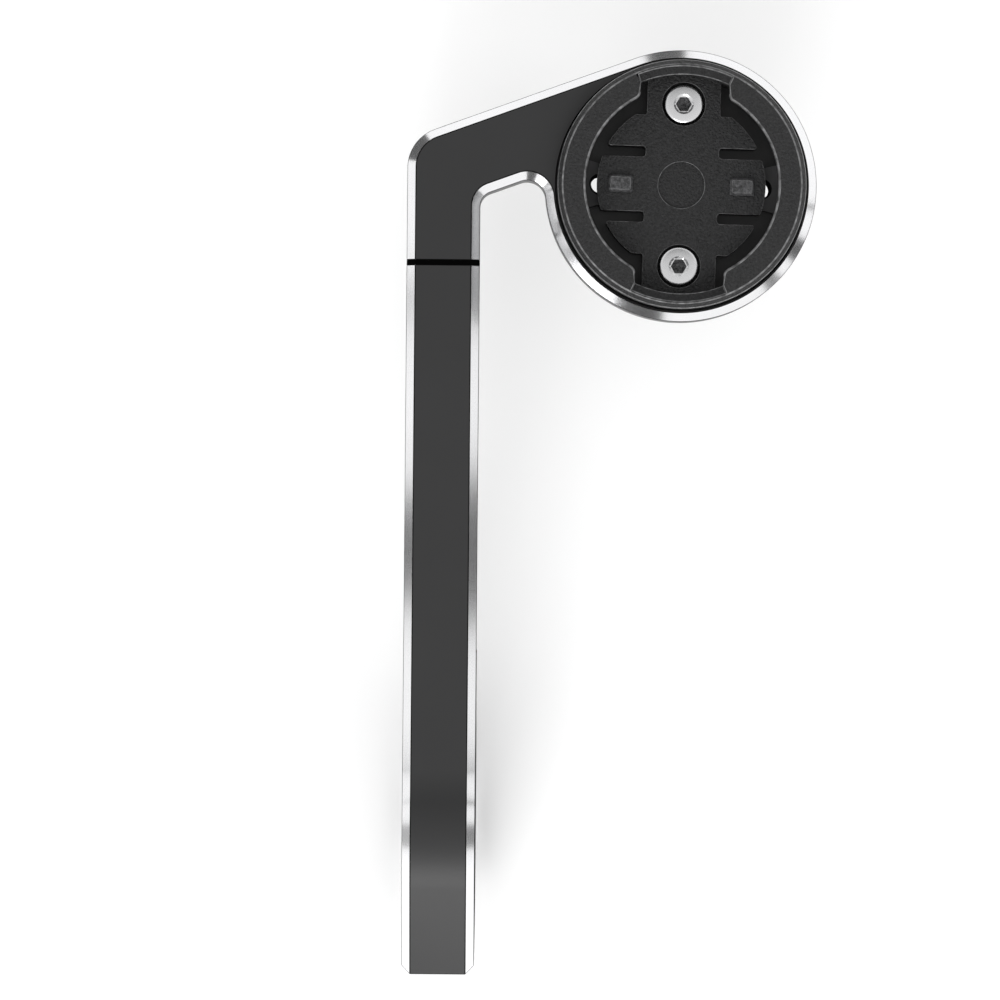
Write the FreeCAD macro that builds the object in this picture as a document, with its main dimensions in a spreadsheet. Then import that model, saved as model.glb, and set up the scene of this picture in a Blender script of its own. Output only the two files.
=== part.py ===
import FreeCAD, Part
import math
import os
import re
import Sketcher

# A bar mount for a bike computer: a long arm with a hinged handlebar clamp, and a side arm that
# turns on the long arm's end and carries a quarter-turn socket. Millimetres. The origin is the
# clamp's axis at mid width, X runs along the handlebar, Y forward along the arm and Z up.

# Every size that can be set by itself, lengths in millimetres and angles in degrees.
SIZES = {
    # clamp on the handlebar
    "bar_dia": 31.8,
    "pad_thick": 0.5,
    "pad_side_inset": 0.2,
    "pad_end_angle": 9.0,
    "clamp_wall": 3.7,
    "split_gap": 1.0,
    "split_drop": 0.75,
    "hinge_outset": 2.3,
    "rear_slope": 24.4,
    # long arm
    "arm_width": 10.6,
    "arm_thick": 8.5,
    "arm_reach": 82.35,
    "edge_chamfer": 1.25,
    "strap_chamfer": 1.0,
    "hump_rise": 1.02,
    "hump_slope": 12.9,
    "hump_blend": 20.0,
    "boss_blend": 4.0,
    "boss_corner": 2.0,
    # hinge at the clamp's rear
    "knuckle_rad": 2.4,
    "knuckle_width": 4.4,
    "knuckle_side_gap": 0.1,
    "knuckle_swing_gap": 0.25,
    "web_lean": 1.8,
    "web_drop": 7.2,
    "strap_rear_gap": 0.4,
    "hinge_height": 2.35,
    "hinge_pin_dia": 2.0,
    "hinge_pin_inset": 0.3,
    "running_gap": 0.05,
    # clamp bolt at the front, M4
    "bolt_reach": 22.0,
    "bolt_edge": 5.0,
    "bolt_thread_dia": 3.65,
    "bolt_tapped_dia": 4.0,
    "bolt_tap_depth": 8.4,
    "bolt_hole_dia": 4.5,
    "bolt_shank_length": 12.0,
    "bolt_head_dia": 7.0,
    "bolt_head_height": 4.0,
    "bolt_key_width": 3.0,
    "bolt_washer_dia": 9.0,
    "bolt_washer_thick": 0.8,
    "bolt_seat_gap": 0.2,
    "flange_thick": 4.0,
    # swivel between the arms, one M3 screw along the long arm
    "gasket_thick": 0.7,
    "swivel_wall": 12.0,
    "small_thread_dia": 2.9,
    "small_tapped_dia": 3.0,
    "small_hole_dia": 3.2,
    "small_head_dia": 5.5,
    "small_head_gap": 0.2,
    "small_key_width": 2.5,
    "swivel_head_height": 3.0,
    "swivel_shank_length": 20.0,
    "swivel_tap_depth": 12.0,
    "swivel_washer_thick": 0.5,
    # side arm and its round head
    "head_side": 34.4,
    "head_ahead": 11.8,
    "head_rad": 19.7,
    "link_slope": 20.0,
    "link_width": 11.3,
    "outer_corner": 5.9,
    "inner_corner": 2.2,
    "head_corner": 2.7,
    "pocket_depth": 2.7,
    "pocket_gap": 0.25,
    "tray_depth": 1.2,
    "tray_inner_rad": 6.0,
    "tray_outer_rad": 16.6,
    "tray_sweep": 61.0,
    # quarter-turn socket
    "socket_turn": -1.3,
    "socket_rad": 17.95,
    "socket_height": 7.1,
    "socket_bevel": 0.7,
    "socket_foot": 0.4,
    "lip_rad": 13.9,
    "lip_thick": 1.6,
    "lip_edge": 0.2,
    "lip_corner": 1.1,
    "ear_wall": 2.15,
    "ear_width": 12.75,
    "ear_lead": 1.2,
    "ear_lead_drop": 0.9,
    "floor_thick": 3.5,
    "floor_rad": 12.2,
    "floor_half_depth": 10.05,
    "spine_width": 10.6,
    "tongue_width": 7.9,
    "tongue_slot": 1.55,
    "slot_corner": 0.465,
    "bump_start": 7.0,
    "bump_length": 3.6,
    "bump_width": 2.5,
    "bump_height": 0.7,
    "bump_ramp": 0.42,
    "centre_rad": 3.4,
    "centre_depth": 0.25,
    "screw_pitch_rad": 11.75,
    "screw_seat_dia": 6.3,
    "screw_seat_depth": 2.0,
    "screw_shank_length": 6.0,
    "screw_head_height": 2.0,
    "screw_key_width": 2.0,
    "key_depth_share": 0.6,
    "head_edge": 0.35,
    # how far a cutting outline runs past the piece it cuts
    "cut_over": 0.5,
}

# Places worked out from the sizes above.
BAR_RAD = "(bar_dia / 2)"
METAL_RAD = f"({BAR_RAD} + pad_thick)"
CREST = f"({METAL_RAD} + clamp_wall)"
ARM_TOP = f"({CREST} - hump_rise)"
ARM_BOTTOM = f"({ARM_TOP} - arm_thick)"
ARM_MID = f"({ARM_TOP} - arm_thick / 2)"
HINGE_Y = f"(-{METAL_RAD} - hinge_outset)"
REAR_REACH = f"({METAL_RAD} + hinge_outset + knuckle_rad)"
NOTCH_TOP = "(hinge_height + knuckle_rad + knuckle_swing_gap)"
NOTCH_ANGLE = f"(asin(({NOTCH_TOP} + knuckle_swing_gap) / {METAL_RAD}) / 1 deg)"
BOSS_FRONT = "(bolt_reach + bolt_edge)"
FLANGE_TOP = "(-split_drop - split_gap)"
FLANGE_BOTTOM = f"({FLANGE_TOP} - flange_thick)"
HEAD_JOINT_Y = "(arm_reach + gasket_thick + running_gap)"
SWIVEL_SEAT_Y = f"({HEAD_JOINT_Y} + swivel_wall)"
SWIVEL_HEAD_Y = f"({SWIVEL_SEAT_Y} + running_gap + swivel_washer_thick)"
HEAD_Y = "(arm_reach + head_ahead)"
POCKET_FLOOR = f"({ARM_TOP} - pocket_depth)"
LIP_UNDER = "(socket_height - lip_thick)"
EAR_RAD = "(socket_rad - ear_wall)"
EAR_LEAD_RAD = f"({EAR_RAD} + ear_lead)"
SCREW_SEAT = "(floor_thick - screw_seat_depth)"

Vector = FreeCAD.Vector
doc = FreeCAD.newDocument("ComputerMount")
sheet = doc.addObject("Spreadsheet::Sheet", "Sizes")
for row, (alias, value) in enumerate(SIZES.items(), start=1):
    sheet.set(f"A{row}", alias)
    sheet.set(f"B{row}", str(value))
    sheet.setAlias(f"B{row}", alias)
doc.recompute()


def bound(expression):
    """The expression with each size's name pointed at its cell."""
    return re.sub(r"[a-z]\w+", lambda name: "Sizes." + name[0] if name[0] in SIZES else name[0], expression)


def size(expression):
    """What an expression of sizes comes to."""
    return float(sheet.evalExpression(bound(expression)))


def make_body(label):
    body = doc.addObject("PartDesign::Body", label)
    body.Label = label
    return body


def make_sketch(body, name, plane, offset="0"):
    """A sketch on one of the body's own origin planes, moved along the plane's normal."""
    sketch = body.newObject("Sketcher::SketchObject", name)
    support = [item for item in body.Origin.OriginFeatures if item.Role == plane][0]
    sketch.AttachmentSupport = (support, [""])
    sketch.MapMode = "FlatFace"
    if offset != "0":
        sketch.AttachmentOffset = FreeCAD.Placement(Vector(0, 0, size(offset)), FreeCAD.Rotation())
        sketch.setExpression("AttachmentOffset.Base.z", bound(offset))
    return sketch


def set_datum(sketch, constraint, expression):
    """Adds a dimension to the sketch and ties it to the sheet."""
    index = sketch.addConstraint(constraint)
    name = f"size_{index}"
    sketch.renameConstraint(index, name)
    sketch.setExpression(f"Constraints.{name}", bound(expression))


def place_point(sketch, geometry, end, x, y):
    """Holds one point of the sketch at x and y from the sketch's origin."""
    for kind, axis, expression in (("DistanceX", -2, x), ("DistanceY", -1, y)):
        distance = size(expression)
        if abs(distance) < 1e-9:
            sketch.addConstraint(Sketcher.Constraint("PointOnObject", geometry, end, axis))
        else:
            set_datum(sketch, Sketcher.Constraint(kind, -1, 1, geometry, end, distance), expression)


def add_circle(sketch, x, y, radius):
    centre = Vector(size(x), size(y), 0)
    circle = sketch.addGeometry(Part.Circle(centre, Vector(0, 0, 1), size(radius)), False)
    place_point(sketch, circle, 3, x, y)
    set_datum(sketch, Sketcher.Constraint("Radius", circle, size(radius)), radius)


def add_arc(sketch, centre, radius, start, end, turns_left):
    """An arc between two points, and the numbers of the ends where it starts and stops."""
    angles = [math.atan2(point.y - centre.y, point.x - centre.x) for point in (start, end)]
    circle = Part.Circle(centre, Vector(0, 0, 1), radius)
    if turns_left:
        return sketch.addGeometry(Part.ArcOfCircle(circle, angles[0], angles[1]), False), 1, 2
    return sketch.addGeometry(Part.ArcOfCircle(circle, angles[1], angles[0]), False), 2, 1


def add_outline(sketch, corners):
    """A closed outline of straight lines; a corner is (x, y), or (x, y, radius) where it is rounded."""
    points = [Vector(size(corner[0]), size(corner[1]), 0) for corner in corners]
    count = len(points)
    starts = list(points)
    ends = list(points)
    centres = list(points)
    for i, corner in enumerate(corners):
        if len(corner) == 3:
            back = (points[i - 1] - points[i]).normalize()
            ahead = (points[(i + 1) % count] - points[i]).normalize()
            half = back.getAngle(ahead) / 2
            run = size(corner[2]) / math.tan(half)
            starts[i] = points[i] + back * run
            ends[i] = points[i] + ahead * run
            centres[i] = points[i] + (back + ahead).normalize() * (size(corner[2]) / math.sin(half))
    lines = []
    for i in range(count):
        segment = Part.LineSegment(ends[i], starts[(i + 1) % count])
        lines.append(sketch.addGeometry(segment, False))
    for i, corner in enumerate(corners):
        line_in = lines[i - 1]
        line_out = lines[i]
        if len(corner) == 2:
            sketch.addConstraint(Sketcher.Constraint("Coincident", line_in, 2, line_out, 1))
            place_point(sketch, line_out, 1, corner[0], corner[1])
            continue
        turn = (points[i] - points[i - 1]).cross(points[(i + 1) % count] - points[i]).z
        radius = size(corner[2])
        arc, first, last = add_arc(sketch, centres[i], radius, starts[i], ends[i], turn > 0)
        mark = sketch.addGeometry(Part.Point(points[i]), True)
        place_point(sketch, mark, 1, corner[0], corner[1])
        sketch.addConstraint(Sketcher.Constraint("PointOnObject", mark, 1, line_in))
        sketch.addConstraint(Sketcher.Constraint("PointOnObject", mark, 1, line_out))
        sketch.addConstraint(Sketcher.Constraint("Tangent", line_in, 2, arc, first))
        sketch.addConstraint(Sketcher.Constraint("Tangent", arc, last, line_out, 1))
        set_datum(sketch, Sketcher.Constraint("Radius", arc, radius), corner[2])


def add_box_outline(sketch, low_x, low_y, high_x, high_y):
    add_outline(sketch, [(low_x, low_y), (high_x, low_y), (high_x, high_y), (low_x, high_y)])


def add_sector(sketch, inner, outer, start, sweep):
    """A ring sector about the sketch's origin, between two radii and from one angle through a sweep."""
    angles = [math.radians(size(start)), math.radians(size(start) + size(sweep))]
    origin = Vector(0, 0, 0)
    arcs = []
    for radius in (inner, outer):
        circle = Part.Circle(origin, Vector(0, 0, 1), size(radius))
        arc = sketch.addGeometry(Part.ArcOfCircle(circle, angles[0], angles[1]), False)
        sketch.addConstraint(Sketcher.Constraint("Coincident", arc, 3, -1, 1))
        set_datum(sketch, Sketcher.Constraint("Radius", arc, size(radius)), radius)
        arcs.append(arc)
    for end, angle, turned in ((1, angles[0], start), (2, angles[1], f"({start}) + ({sweep})")):
        ray = Vector(math.cos(angle), math.sin(angle), 0)
        line = Part.LineSegment(ray * size(inner), ray * size(outer))
        side = sketch.addGeometry(line, False)
        sketch.addConstraint(Sketcher.Constraint("Coincident", side, 1, arcs[0], end))
        sketch.addConstraint(Sketcher.Constraint("Coincident", side, 2, arcs[1], end))
        sketch.addConstraint(Sketcher.Constraint("PointOnObject", -1, 1, side))
        set_datum(sketch, Sketcher.Constraint("Angle", side, angle), f"({turned}) * 1 deg")


def settle(feature):
    """Brings the document up to date and stops where the newest feature fails."""
    doc.recompute()
    if "Invalid" in feature.State or "Error" in feature.State:
        raise RuntimeError(f"{feature.Label}: {feature.getStatusString()}")


def add_feature(body, kind, name, sketch, length, symmetric=False, backwards=False):
    """A Pad or a Pocket of the sketch, tied to its length."""
    feature = body.newObject(f"PartDesign::{kind}", name)
    feature.Profile = sketch
    feature.SideType = "Symmetric" if symmetric else "One side"
    feature.Reversed = backwards
    feature.Length = size(length)
    feature.setExpression("Length", bound(length))
    sketch.Visibility = False
    settle(feature)
    return feature


def pad(body, name, sketch, length, **options):
    return add_feature(body, "Pad", name, sketch, length, **options)


def pocket(body, name, sketch, length, **options):
    """A Pocket, which has to take something away."""
    before = body.Shape.Volume
    feature = add_feature(body, "Pocket", name, sketch, length, **options)
    if body.Shape.Volume > before - 1e-6:
        raise RuntimeError(f"{body.Label}: {name} cuts nothing")
    return feature


def find_edges(shape, wanted):
    """The names of the edges that the test picks, given each edge and its middle point."""
    names = []
    for number, edge in enumerate(shape.Edges, start=1):
        middle = edge.valueAt((edge.FirstParameter + edge.LastParameter) / 2)
        if wanted(edge, middle):
            names.append(f"Edge{number}")
    return names


def dress_edges(body, kind, name, wanted, amount):
    """A Chamfer or a Fillet on the edges that the test picks."""
    base = body.Tip
    names = find_edges(base.Shape, wanted)
    if not names:
        raise RuntimeError(f"{body.Label}: {name} finds no edge")
    feature = body.newObject(f"PartDesign::{kind}", name)
    feature.Base = (base, names)
    setting = "Size" if kind == "Chamfer" else "Radius"
    setattr(feature, setting, size(amount))
    feature.setExpression(setting, bound(amount))
    settle(feature)
    return feature


def copy_round(body, name, feature, count):
    """Repeats a feature round the body's Z axis."""
    pattern = body.newObject("PartDesign::PolarPattern", name)
    pattern.Originals = [feature]
    axis = [item for item in body.Origin.OriginFeatures if item.Role == "Z_Axis"][0]
    pattern.Axis = (axis, [""])
    pattern.Angle = 360
    pattern.Occurrences = count
    body.Tip = pattern
    settle(pattern)
    return pattern


def revolve(body, kind, name, sketch, angle=360):
    """A Revolution or a Groove of an XZ sketch round the body's Z axis."""
    feature = body.newObject(f"PartDesign::{kind}", name)
    feature.Profile = sketch
    axis = [item for item in body.Origin.OriginFeatures if item.Role == "Z_Axis"][0]
    feature.ReferenceAxis = (axis, [""])
    feature.Angle = angle
    feature.Midplane = angle < 360
    sketch.Visibility = False
    settle(feature)
    return feature


def same(first, second):
    return abs(first - second) < 1e-4


def on_sides(edge, middle):
    """Whether an edge lies in one of the two flat sides of the long arm or the strap."""
    return same(abs(middle.x), size("arm_width / 2"))


# Long arm, with the clamp's upper half

def make_main_arm():
    body = make_body("main_arm")
    side = make_sketch(body, "side_profile", "YZ_Plane")
    add_outline(side, [
        ("arm_reach", ARM_TOP),
        # foot of the hump over the handlebar, then its crest, concentric with the bar
        (f"({CREST} - {ARM_TOP} * cos(hump_slope)) / sin(hump_slope)", ARM_TOP, "hump_blend"),
        (f"{CREST} * (1 / cos(hump_slope) - 1 / cos(rear_slope)) / (tan(hump_slope) + tan(rear_slope))",
         f"{CREST} * (1 + (1 / cos(rear_slope) - 1 / cos(hump_slope)) / (tan(hump_slope) + tan(rear_slope))"
         " * sin(hump_slope)) / cos(hump_slope)", CREST),
        (f"-{REAR_REACH}", f"({CREST} - {REAR_REACH} * sin(rear_slope)) / cos(rear_slope)"),
        (f"-{REAR_REACH}", "hinge_height - knuckle_rad", "knuckle_rad"),
        # these two lie inside the bore, which takes them away
        (f"clamp_wall - {BAR_RAD}", "hinge_height - knuckle_rad"),
        (f"{BAR_RAD} - clamp_wall", "-split_drop"),
        (BOSS_FRONT, "-split_drop", "boss_corner"),
        (BOSS_FRONT, ARM_BOTTOM, "boss_blend"),
        ("arm_reach", ARM_BOTTOM),
    ])
    pad(body, "arm_bar", side, "arm_width", symmetric=True)
    end = size("arm_reach")
    dress_edges(body, "Chamfer", "bright_edges",
                lambda edge, middle: on_sides(edge, middle) and not same(middle.y, end), "edge_chamfer")
    bore = make_sketch(body, "bore_circle", "YZ_Plane")
    add_circle(bore, "0", "0", METAL_RAD)
    pocket(body, "handlebar_bore", bore, "2 * arm_width", symmetric=True)
    notch = make_sketch(body, "notch_outline", "YZ_Plane")
    notch_front = f"{HINGE_Y} + knuckle_rad + knuckle_swing_gap"
    add_outline(notch, [
        (f"-{REAR_REACH} - knuckle_rad", "-split_drop - knuckle_rad"),
        (notch_front, "-split_drop - knuckle_rad"),
        (notch_front, NOTCH_TOP, "knuckle_rad"),
        (f"-{REAR_REACH} - knuckle_rad", NOTCH_TOP),
    ])
    pocket(body, "knuckle_notch", notch, "knuckle_width + 2 * knuckle_side_gap", symmetric=True)
    pin = make_sketch(body, "pin_circle", "YZ_Plane")
    add_circle(pin, HINGE_Y, "hinge_height", "hinge_pin_dia / 2")
    pocket(body, "pin_hole", pin, "2 * arm_width", symmetric=True)
    tapped = make_sketch(body, "bolt_circle", "XY_Plane", "-split_drop")
    add_circle(tapped, "0", "bolt_reach", "bolt_tapped_dia / 2")
    pocket(body, "bolt_tapping", tapped, "bolt_tap_depth", backwards=True)
    swivel = make_sketch(body, "swivel_circle", "XZ_Plane", "-arm_reach")
    add_circle(swivel, "0", ARM_MID, "small_tapped_dia / 2")
    pocket(body, "swivel_tapping", swivel, "swivel_tap_depth", backwards=True)
    return body


# Clamp's lower half, its pin, bolt and linings

def make_clamp_strap():
    body = make_body("clamp_strap")
    disc = make_sketch(body, "disc_circle", "YZ_Plane")
    add_circle(disc, "0", "0", CREST)
    pad(body, "strap_disc", disc, "arm_width", symmetric=True)
    flange = make_sketch(body, "flange_outline", "YZ_Plane")
    add_outline(flange, [
        ("0", FLANGE_TOP),
        ("0", FLANGE_BOTTOM),
        (BOSS_FRONT, FLANGE_BOTTOM, "boss_corner"),
        (BOSS_FRONT, FLANGE_TOP),
    ])
    pad(body, "flange", flange, "arm_width", symmetric=True)
    under = size(FLANGE_BOTTOM)
    top = size(FLANGE_TOP)
    disc_rad = size(CREST)

    def flange_root(edge, middle):
        return same(middle.x, 0) and same(middle.z, under) and same(math.hypot(middle.y, middle.z), disc_rad)

    dress_edges(body, "Fillet", "flange_blend", flange_root, "boss_corner")
    dress_edges(body, "Chamfer", "bright_edges",
                lambda edge, middle: on_sides(edge, middle) and middle.z < top - 0.01, "strap_chamfer")
    upper = make_sketch(body, "upper_cut_outline", "YZ_Plane")
    add_outline(upper, [
        (f"-{CREST} - cut_over", "hinge_height - knuckle_rad - strap_rear_gap"),
        ("0", "hinge_height - knuckle_rad - strap_rear_gap"),
        ("0", FLANGE_TOP),
        (f"{BOSS_FRONT} + cut_over", FLANGE_TOP),
        (f"{BOSS_FRONT} + cut_over", f"{CREST} + cut_over"),
        (f"-{CREST} - cut_over", f"{CREST} + cut_over"),
    ])
    pocket(body, "upper_cut", upper, "2 * arm_width", symmetric=True)
    web = make_sketch(body, "web_outline", "YZ_Plane")
    add_outline(web, [
        (f"-{REAR_REACH}", "hinge_height"),
        (f"-{REAR_REACH}", "hinge_height - knuckle_rad"),
        (f"-{REAR_REACH} + web_lean", "hinge_height - web_drop"),
        (f"{HINGE_Y} + knuckle_rad", "hinge_height - web_drop"),
        (f"{HINGE_Y} + knuckle_rad", "hinge_height"),
    ])
    pad(body, "knuckle_web", web, "knuckle_width", symmetric=True)
    knuckle = make_sketch(body, "knuckle_circle", "YZ_Plane")
    add_circle(knuckle, HINGE_Y, "hinge_height", "knuckle_rad")
    pad(body, "knuckle", knuckle, "knuckle_width", symmetric=True)
    bore = make_sketch(body, "bore_circle", "YZ_Plane")
    add_circle(bore, "0", "0", METAL_RAD)
    pocket(body, "handlebar_bore", bore, "2 * arm_width", symmetric=True)
    pin = make_sketch(body, "pin_circle", "YZ_Plane")
    add_circle(pin, HINGE_Y, "hinge_height", "hinge_pin_dia / 2 + running_gap")
    pocket(body, "pin_hole", pin, "2 * arm_width", symmetric=True)
    hole = make_sketch(body, "bolt_circle", "XY_Plane", FLANGE_TOP)
    add_circle(hole, "0", "bolt_reach", "bolt_hole_dia / 2")
    pocket(body, "bolt_hole", hole, "2 * flange_thick")
    seat = make_sketch(body, "seat_circle", "XY_Plane", FLANGE_BOTTOM)
    add_circle(seat, "0", "bolt_reach", "bolt_washer_dia / 2 + bolt_seat_gap")
    pocket(body, "washer_seat", seat, "clamp_wall * 3")
    return body


def make_hinge_pin():
    body = make_body("clamp_hinge_pin")
    outline = make_sketch(body, "pin_circle", "YZ_Plane")
    add_circle(outline, HINGE_Y, "hinge_height", "hinge_pin_dia / 2")
    pad(body, "pin", outline, "arm_width - 2 * hinge_pin_inset", symmetric=True)
    dress_edges(body, "Chamfer", "pin_ends", lambda edge, middle: not same(middle.x, 0), "hinge_pin_dia * 0.1")
    return body


def make_clamp_pad(label, start, sweep):
    """A thin rubber lining of the clamp, between two angles seen from +X."""
    body = make_body(label)
    outline = make_sketch(body, "lining_outline", "YZ_Plane")
    add_sector(outline, BAR_RAD, METAL_RAD, start, sweep)
    pad(body, "lining", outline, "arm_width - 2 * pad_side_inset", symmetric=True)
    return body


def make_cap_screw(label, shank_dia, shank_length, head_dia, head_height, key_width):
    """A socket head screw in its own frame: the shank runs down from the origin, the head stands up."""
    body = make_body(label)
    head = make_sketch(body, "head_circle", "XY_Plane")
    add_circle(head, "0", "0", f"{head_dia} / 2")
    pad(body, "head", head, head_height)
    top = size(head_height)
    dress_edges(body, "Chamfer", "head_rim", lambda edge, middle: same(middle.z, top), "head_edge")
    shank = make_sketch(body, "shank_circle", "XY_Plane")
    add_circle(shank, "0", "0", f"{shank_dia} / 2")
    pad(body, "shank", shank, shank_length, backwards=True)
    tip = -size(shank_length)
    dress_edges(body, "Chamfer", "shank_tip", lambda edge, middle: same(middle.z, tip), "head_edge")
    key = make_sketch(body, "key_outline", "XY_Plane", head_height)
    across = f"{key_width} / sqrt(3)"
    add_outline(key, [(f"{across} * cos({angle})", f"{across} * sin({angle})") for angle in range(0, 360, 60)])
    pocket(body, "key_socket", key, f"{head_height} * key_depth_share")
    return body


def make_washer(label, outer_dia, inner_dia, thick):
    """A flat washer in its own frame, from the origin up."""
    body = make_body(label)
    outline = make_sketch(body, "washer_circles", "XY_Plane")
    add_circle(outline, "0", "0", f"{outer_dia} / 2")
    add_circle(outline, "0", "0", f"{inner_dia} / 2")
    pad(body, "washer", outline, thick)
    return body


def put(body, x, y, z, rotation=None):
    """Moves a finished body to its place, tied to the sheet."""
    body.Placement = FreeCAD.Placement(Vector(size(x), size(y), size(z)), rotation or FreeCAD.Rotation())
    for axis, expression in (("x", x), ("y", y), ("z", z)):
        body.setExpression(f"Placement.Base.{axis}", bound(expression))


# Gasket between the arms and the screw that they turn on

def make_gasket():
    body = make_body("joint_gasket")
    outline = make_sketch(body, "gasket_outline", "XZ_Plane", "-arm_reach")
    half = "arm_width / 2"
    add_outline(outline, [
        (f"-{half}", f"{ARM_BOTTOM} + edge_chamfer"),
        (f"-{half} + edge_chamfer", ARM_BOTTOM),
        (f"{half} - edge_chamfer", ARM_BOTTOM),
        (half, f"{ARM_BOTTOM} + edge_chamfer"),
        (half, f"{ARM_TOP} - edge_chamfer"),
        (f"{half} - edge_chamfer", ARM_TOP),
        (f"-{half} + edge_chamfer", ARM_TOP),
        (f"-{half}", f"{ARM_TOP} - edge_chamfer"),
    ])
    add_circle(outline, "0", ARM_MID, "small_hole_dia / 2")
    pad(body, "gasket", outline, "gasket_thick", backwards=True)
    return body


# Side arm with the round head

def add_side_arm_outline(sketch):
    """Straight link from the joint, bent to the side at the slope, running tangent into the head's circle."""
    slope = math.radians(size("link_slope"))
    along = Vector(math.cos(slope), math.sin(slope), 0)
    upward = Vector(-math.sin(slope), math.cos(slope), 0)
    centre = Vector(size("head_side"), size(HEAD_Y), 0)
    radius = size("head_rad")
    half = size("arm_width / 2")
    width = size("link_width")
    joint = size(HEAD_JOINT_Y)
    tangent = centre + upward * radius

    def on_line(drop, x):
        """The point at x on the link's upper line, moved down by drop."""
        start = tangent - upward * drop
        return start + along * ((x - start.x) / along.x)

    outer = size("outer_corner")
    inner = size("inner_corner")
    neck = size("head_corner")
    outer_centre = on_line(outer, outer - half)
    inner_centre = on_line(width + inner, half + inner)
    rise = radius - width - neck
    neck_centre = centre + upward * rise - along * math.sqrt((radius + neck) ** 2 - rise ** 2)
    outward = (neck_centre - centre).normalize()

    # every corner of the outline, in order from the joint's left end
    left_low = Vector(-half, joint, 0)
    left_high = Vector(-half, outer_centre.y, 0)
    upper_start = outer_centre + upward * outer
    neck_end = centre + outward * radius
    neck_start = neck_centre + upward * neck
    under_end = inner_centre + upward * inner
    right_high = Vector(half, inner_centre.y, 0)
    right_low = Vector(half, joint, 0)

    left = sketch.addGeometry(Part.LineSegment(left_low, left_high), False)
    corner, corner_in, corner_out = add_arc(sketch, outer_centre, outer, left_high, upper_start, False)
    upper = sketch.addGeometry(Part.LineSegment(upper_start, tangent), False)
    head, head_in, head_out = add_arc(sketch, centre, radius, tangent, neck_end, False)
    throat, throat_in, throat_out = add_arc(sketch, neck_centre, neck, neck_end, neck_start, True)
    under = sketch.addGeometry(Part.LineSegment(neck_start, under_end), False)
    crook, crook_in, crook_out = add_arc(sketch, inner_centre, inner, under_end, right_high, True)
    right = sketch.addGeometry(Part.LineSegment(right_high, right_low), False)
    foot = sketch.addGeometry(Part.LineSegment(right_low, left_low), False)

    for first, first_end, second, second_end in (
        (left, 2, corner, corner_in), (corner, corner_out, upper, 1), (upper, 2, head, head_in),
        (head, head_out, throat, throat_in), (throat, throat_out, under, 1), (under, 2, crook, crook_in),
        (crook, crook_out, right, 1),
    ):
        sketch.addConstraint(Sketcher.Constraint("Tangent", first, first_end, second, second_end))
    sketch.addConstraint(Sketcher.Constraint("Coincident", right, 2, foot, 1))
    sketch.addConstraint(Sketcher.Constraint("Coincident", foot, 2, left, 1))
    sketch.addConstraint(Sketcher.Constraint("Vertical", left))
    sketch.addConstraint(Sketcher.Constraint("Vertical", right))
    sketch.addConstraint(Sketcher.Constraint("Horizontal", foot))
    sketch.addConstraint(Sketcher.Constraint("Parallel", upper, under))
    for arc, expression in ((corner, "outer_corner"), (head, "head_rad"), (throat, "head_corner"),
                            (crook, "inner_corner")):
        set_datum(sketch, Sketcher.Constraint("Radius", arc, size(expression)), expression)
    place_point(sketch, head, 3, "head_side", HEAD_Y)
    place_point(sketch, left, 1, "-arm_width / 2", HEAD_JOINT_Y)
    set_datum(sketch, Sketcher.Constraint("DistanceX", -1, 1, right, 2, half), "arm_width / 2")
    set_datum(sketch, Sketcher.Constraint("Angle", upper, slope), "link_slope * 1 deg")
    set_datum(sketch, Sketcher.Constraint("Distance", under, 1, upper, width), "link_width")


def make_head_arm():
    body = make_body("head_arm")
    outline = make_sketch(body, "arm_outline", "XY_Plane", ARM_BOTTOM)
    add_side_arm_outline(outline)
    pad(body, "arm_plate", outline, "arm_thick")
    joint = size(HEAD_JOINT_Y)
    levels = (size(ARM_TOP), size(ARM_BOTTOM))

    def outline_edge(edge, middle):
        return any(same(middle.z, level) for level in levels) and not same(middle.y, joint)

    dress_edges(body, "Chamfer", "bright_edges", outline_edge, "edge_chamfer")
    recess = make_sketch(body, "pocket_circle", "XY_Plane", ARM_TOP)
    add_circle(recess, "head_side", HEAD_Y, "socket_rad + pocket_gap")
    pocket(body, "socket_pocket", recess, "pocket_depth")
    for number in range(4):
        tray = make_sketch(body, f"tray_outline_{number}", "XY_Plane", POCKET_FLOOR)
        start = f"{90 * number} + (90 - tray_sweep) / 2 + socket_turn"
        add_sector(tray, "tray_inner_rad", "tray_outer_rad", start, "tray_sweep")
        tray.AttachmentOffset = FreeCAD.Placement(
            Vector(size("head_side"), size(HEAD_Y), size(POCKET_FLOOR)), FreeCAD.Rotation())
        tray.setExpression("AttachmentOffset.Base.x", bound("head_side"))
        tray.setExpression("AttachmentOffset.Base.y", bound(HEAD_Y))
        pocket(body, f"tray_{number}", tray, "tray_depth")
    holes = make_sketch(body, "thread_circles", "XY_Plane", POCKET_FLOOR)
    for number in range(4):
        turned = f"({90 * number} + socket_turn)"
        add_circle(holes, f"head_side + screw_pitch_rad * cos{turned}",
                   f"{HEAD_Y} + screw_pitch_rad * sin{turned}", "small_tapped_dia / 2")
    pocket(body, "thread_holes", holes, "arm_thick")
    seat = make_sketch(body, "swivel_seat_circle", "XZ_Plane", f"-{SWIVEL_SEAT_Y}")
    add_circle(seat, "0", ARM_MID, "small_head_dia / 2 + small_head_gap")
    pocket(body, "swivel_seat", seat, "head_rad * 2")
    bore = make_sketch(body, "swivel_bore_circle", "XZ_Plane", f"-{HEAD_JOINT_Y}")
    add_circle(bore, "0", ARM_MID, "small_thread_dia / 2 + running_gap")
    pocket(body, "swivel_bore", bore, "swivel_wall + 1")
    return body


# Quarter-turn socket, moulded in one piece, in its own frame with the origin at its foot

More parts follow.
